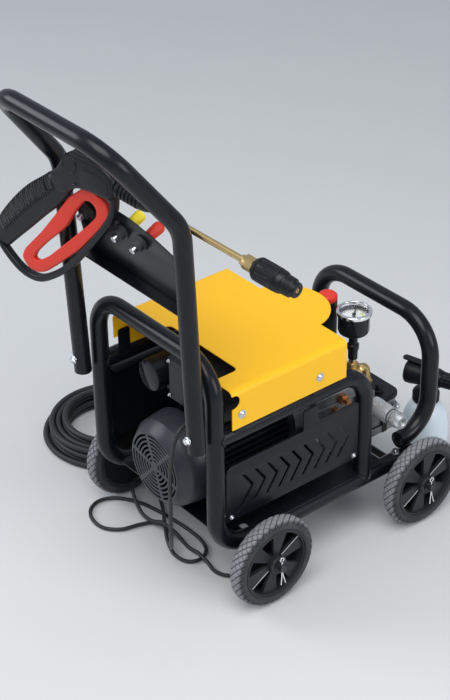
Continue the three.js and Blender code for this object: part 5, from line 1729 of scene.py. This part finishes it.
@dataclass
class Studio:
    """The camera, the floor and the lights."""

    bench: Bench
    azimuth: float = -38.7
    elevation: float = 32.34
    roll: float = -0.8
    distance: float = 4026.6
    lens: float = 91.0

    def camera(self) -> None:
        """Sets a camera that looks at the cart from its azimuth and elevation, with a slight roll."""
        az, el, roll = (math.radians(v) for v in (self.azimuth, self.elevation, self.roll))
        back = vec(math.sin(az) * math.cos(el), -math.cos(az) * math.cos(el), math.sin(el))
        right = unit(np.cross(Z, back))
        up = np.cross(back, right)
        right, up = right * math.cos(roll) + up * math.sin(roll), up * math.cos(roll) - right * math.sin(roll)
        place = self.bench.row(vec(326.4, 302.6, 200.0) + back * self.distance)
        data = bpy.data.cameras.new("camera")
        data.lens, data.sensor_width, data.clip_end = self.lens, 36.0, 60.0
        obj = bpy.data.objects.new("camera", data)
        obj.matrix_world = Matrix(np.vstack([np.column_stack([right, up, back, place]),
                                             [0, 0, 0, 1]]).tolist())
        bpy.context.scene.collection.objects.link(obj)
        bpy.context.scene.camera = obj

    def floor(self) -> None:
        """A plain pale floor under everything."""
        s = Sheet("floor_grey")
        cloud = s.noise(3.0, 4.0)
        s.finish({"Base Color": s.mix(cloud * 0.4, (0.62, 0.62, 0.62), (0.67, 0.67, 0.66)),
                  "Roughness": 0.75})
        data = bpy.data.meshes.new("floor")
        size = 30.0
        data.from_pydata([(-size, -size, -0.0006), (size, -size, -0.0006), (size, size, -0.0006),
                          (-size, size, -0.0006)], [], [(0, 1, 2, 3)])
        data.materials.append(s.material)
        obj = bpy.data.objects.new("floor", data)
        bpy.context.scene.collection.objects.link(obj)
        obj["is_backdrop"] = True

    def light(self, name: str, place: Sequence[float], aim: Sequence[float], size: float, power: float,
              colour: Colour) -> None:
        """A square soft light at a place in metres, turned to its aim."""
        data = bpy.data.lights.new(name, "AREA")
        data.shape, data.size, data.energy, data.color = "SQUARE", size, power, colour
        obj = bpy.data.objects.new(name, data)
        obj.location = Vector(place)
        obj.rotation_euler = (Vector(place) - Vector(aim)).to_track_quat("Z", "Y").to_euler()
        bpy.context.scene.collection.objects.link(obj)

    def lights(self) -> None:
        """A pale even world, a broad key from above and soft lights at the back and the side."""
        world = bpy.data.worlds.new("studio")
        world.use_nodes = True
        sky = world.node_tree.nodes["Background"]
        sky.inputs["Color"].default_value = (0.82, 0.9, 1.0, 1)
        sky.inputs["Strength"].default_value = 0.5
        bpy.context.scene.world = world
        self.light("key", (-1.4, -1.2, 3.6), (0.0, 0, 0.4), 2.6, 105, (1.0, 0.99, 0.97))
        self.light("back", (-2.4, 2.8, 2.6), (0, 0, 0.5), 2.0, 60, (0.92, 0.96, 1.0))
        self.light("side", (0.9, -3.4, 1.7), (0, 0, 0.3), 1.8, 42, (0.96, 0.98, 1.0))
        view = bpy.context.scene.view_settings
        view.view_transform, view.look, view.exposure = "Standard", "None", 0.0


def main() -> dict[str, Any]:
    """Builds the whole machine in order, camera and cords first.

    Returns:
        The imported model's own box, as read before anything was added.
    """
    logging.basicConfig(level=logging.INFO, format="%(name)s: %(message)s")
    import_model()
    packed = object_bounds()
    bench, fin = Bench(), Finishes()
    studio = Studio(bench)
    studio.camera()
    studio.floor()
    studio.lights()
    for kind in (Cords, Frame, Bumper, Handle, NozzlePanel, Hood, SidePanels, Wheels, Motor, Electrics, Pump,
                 Regulator, Gauge,
                 Gun, FoamCannon):
        kind(bench, fin).build()
    return {"cad": [list(map(float, corner)) for corner in packed]}


if __name__ == "__main__":
    SIZES = main()
    SIZES["visual"] = [list(map(float, corner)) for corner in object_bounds()]
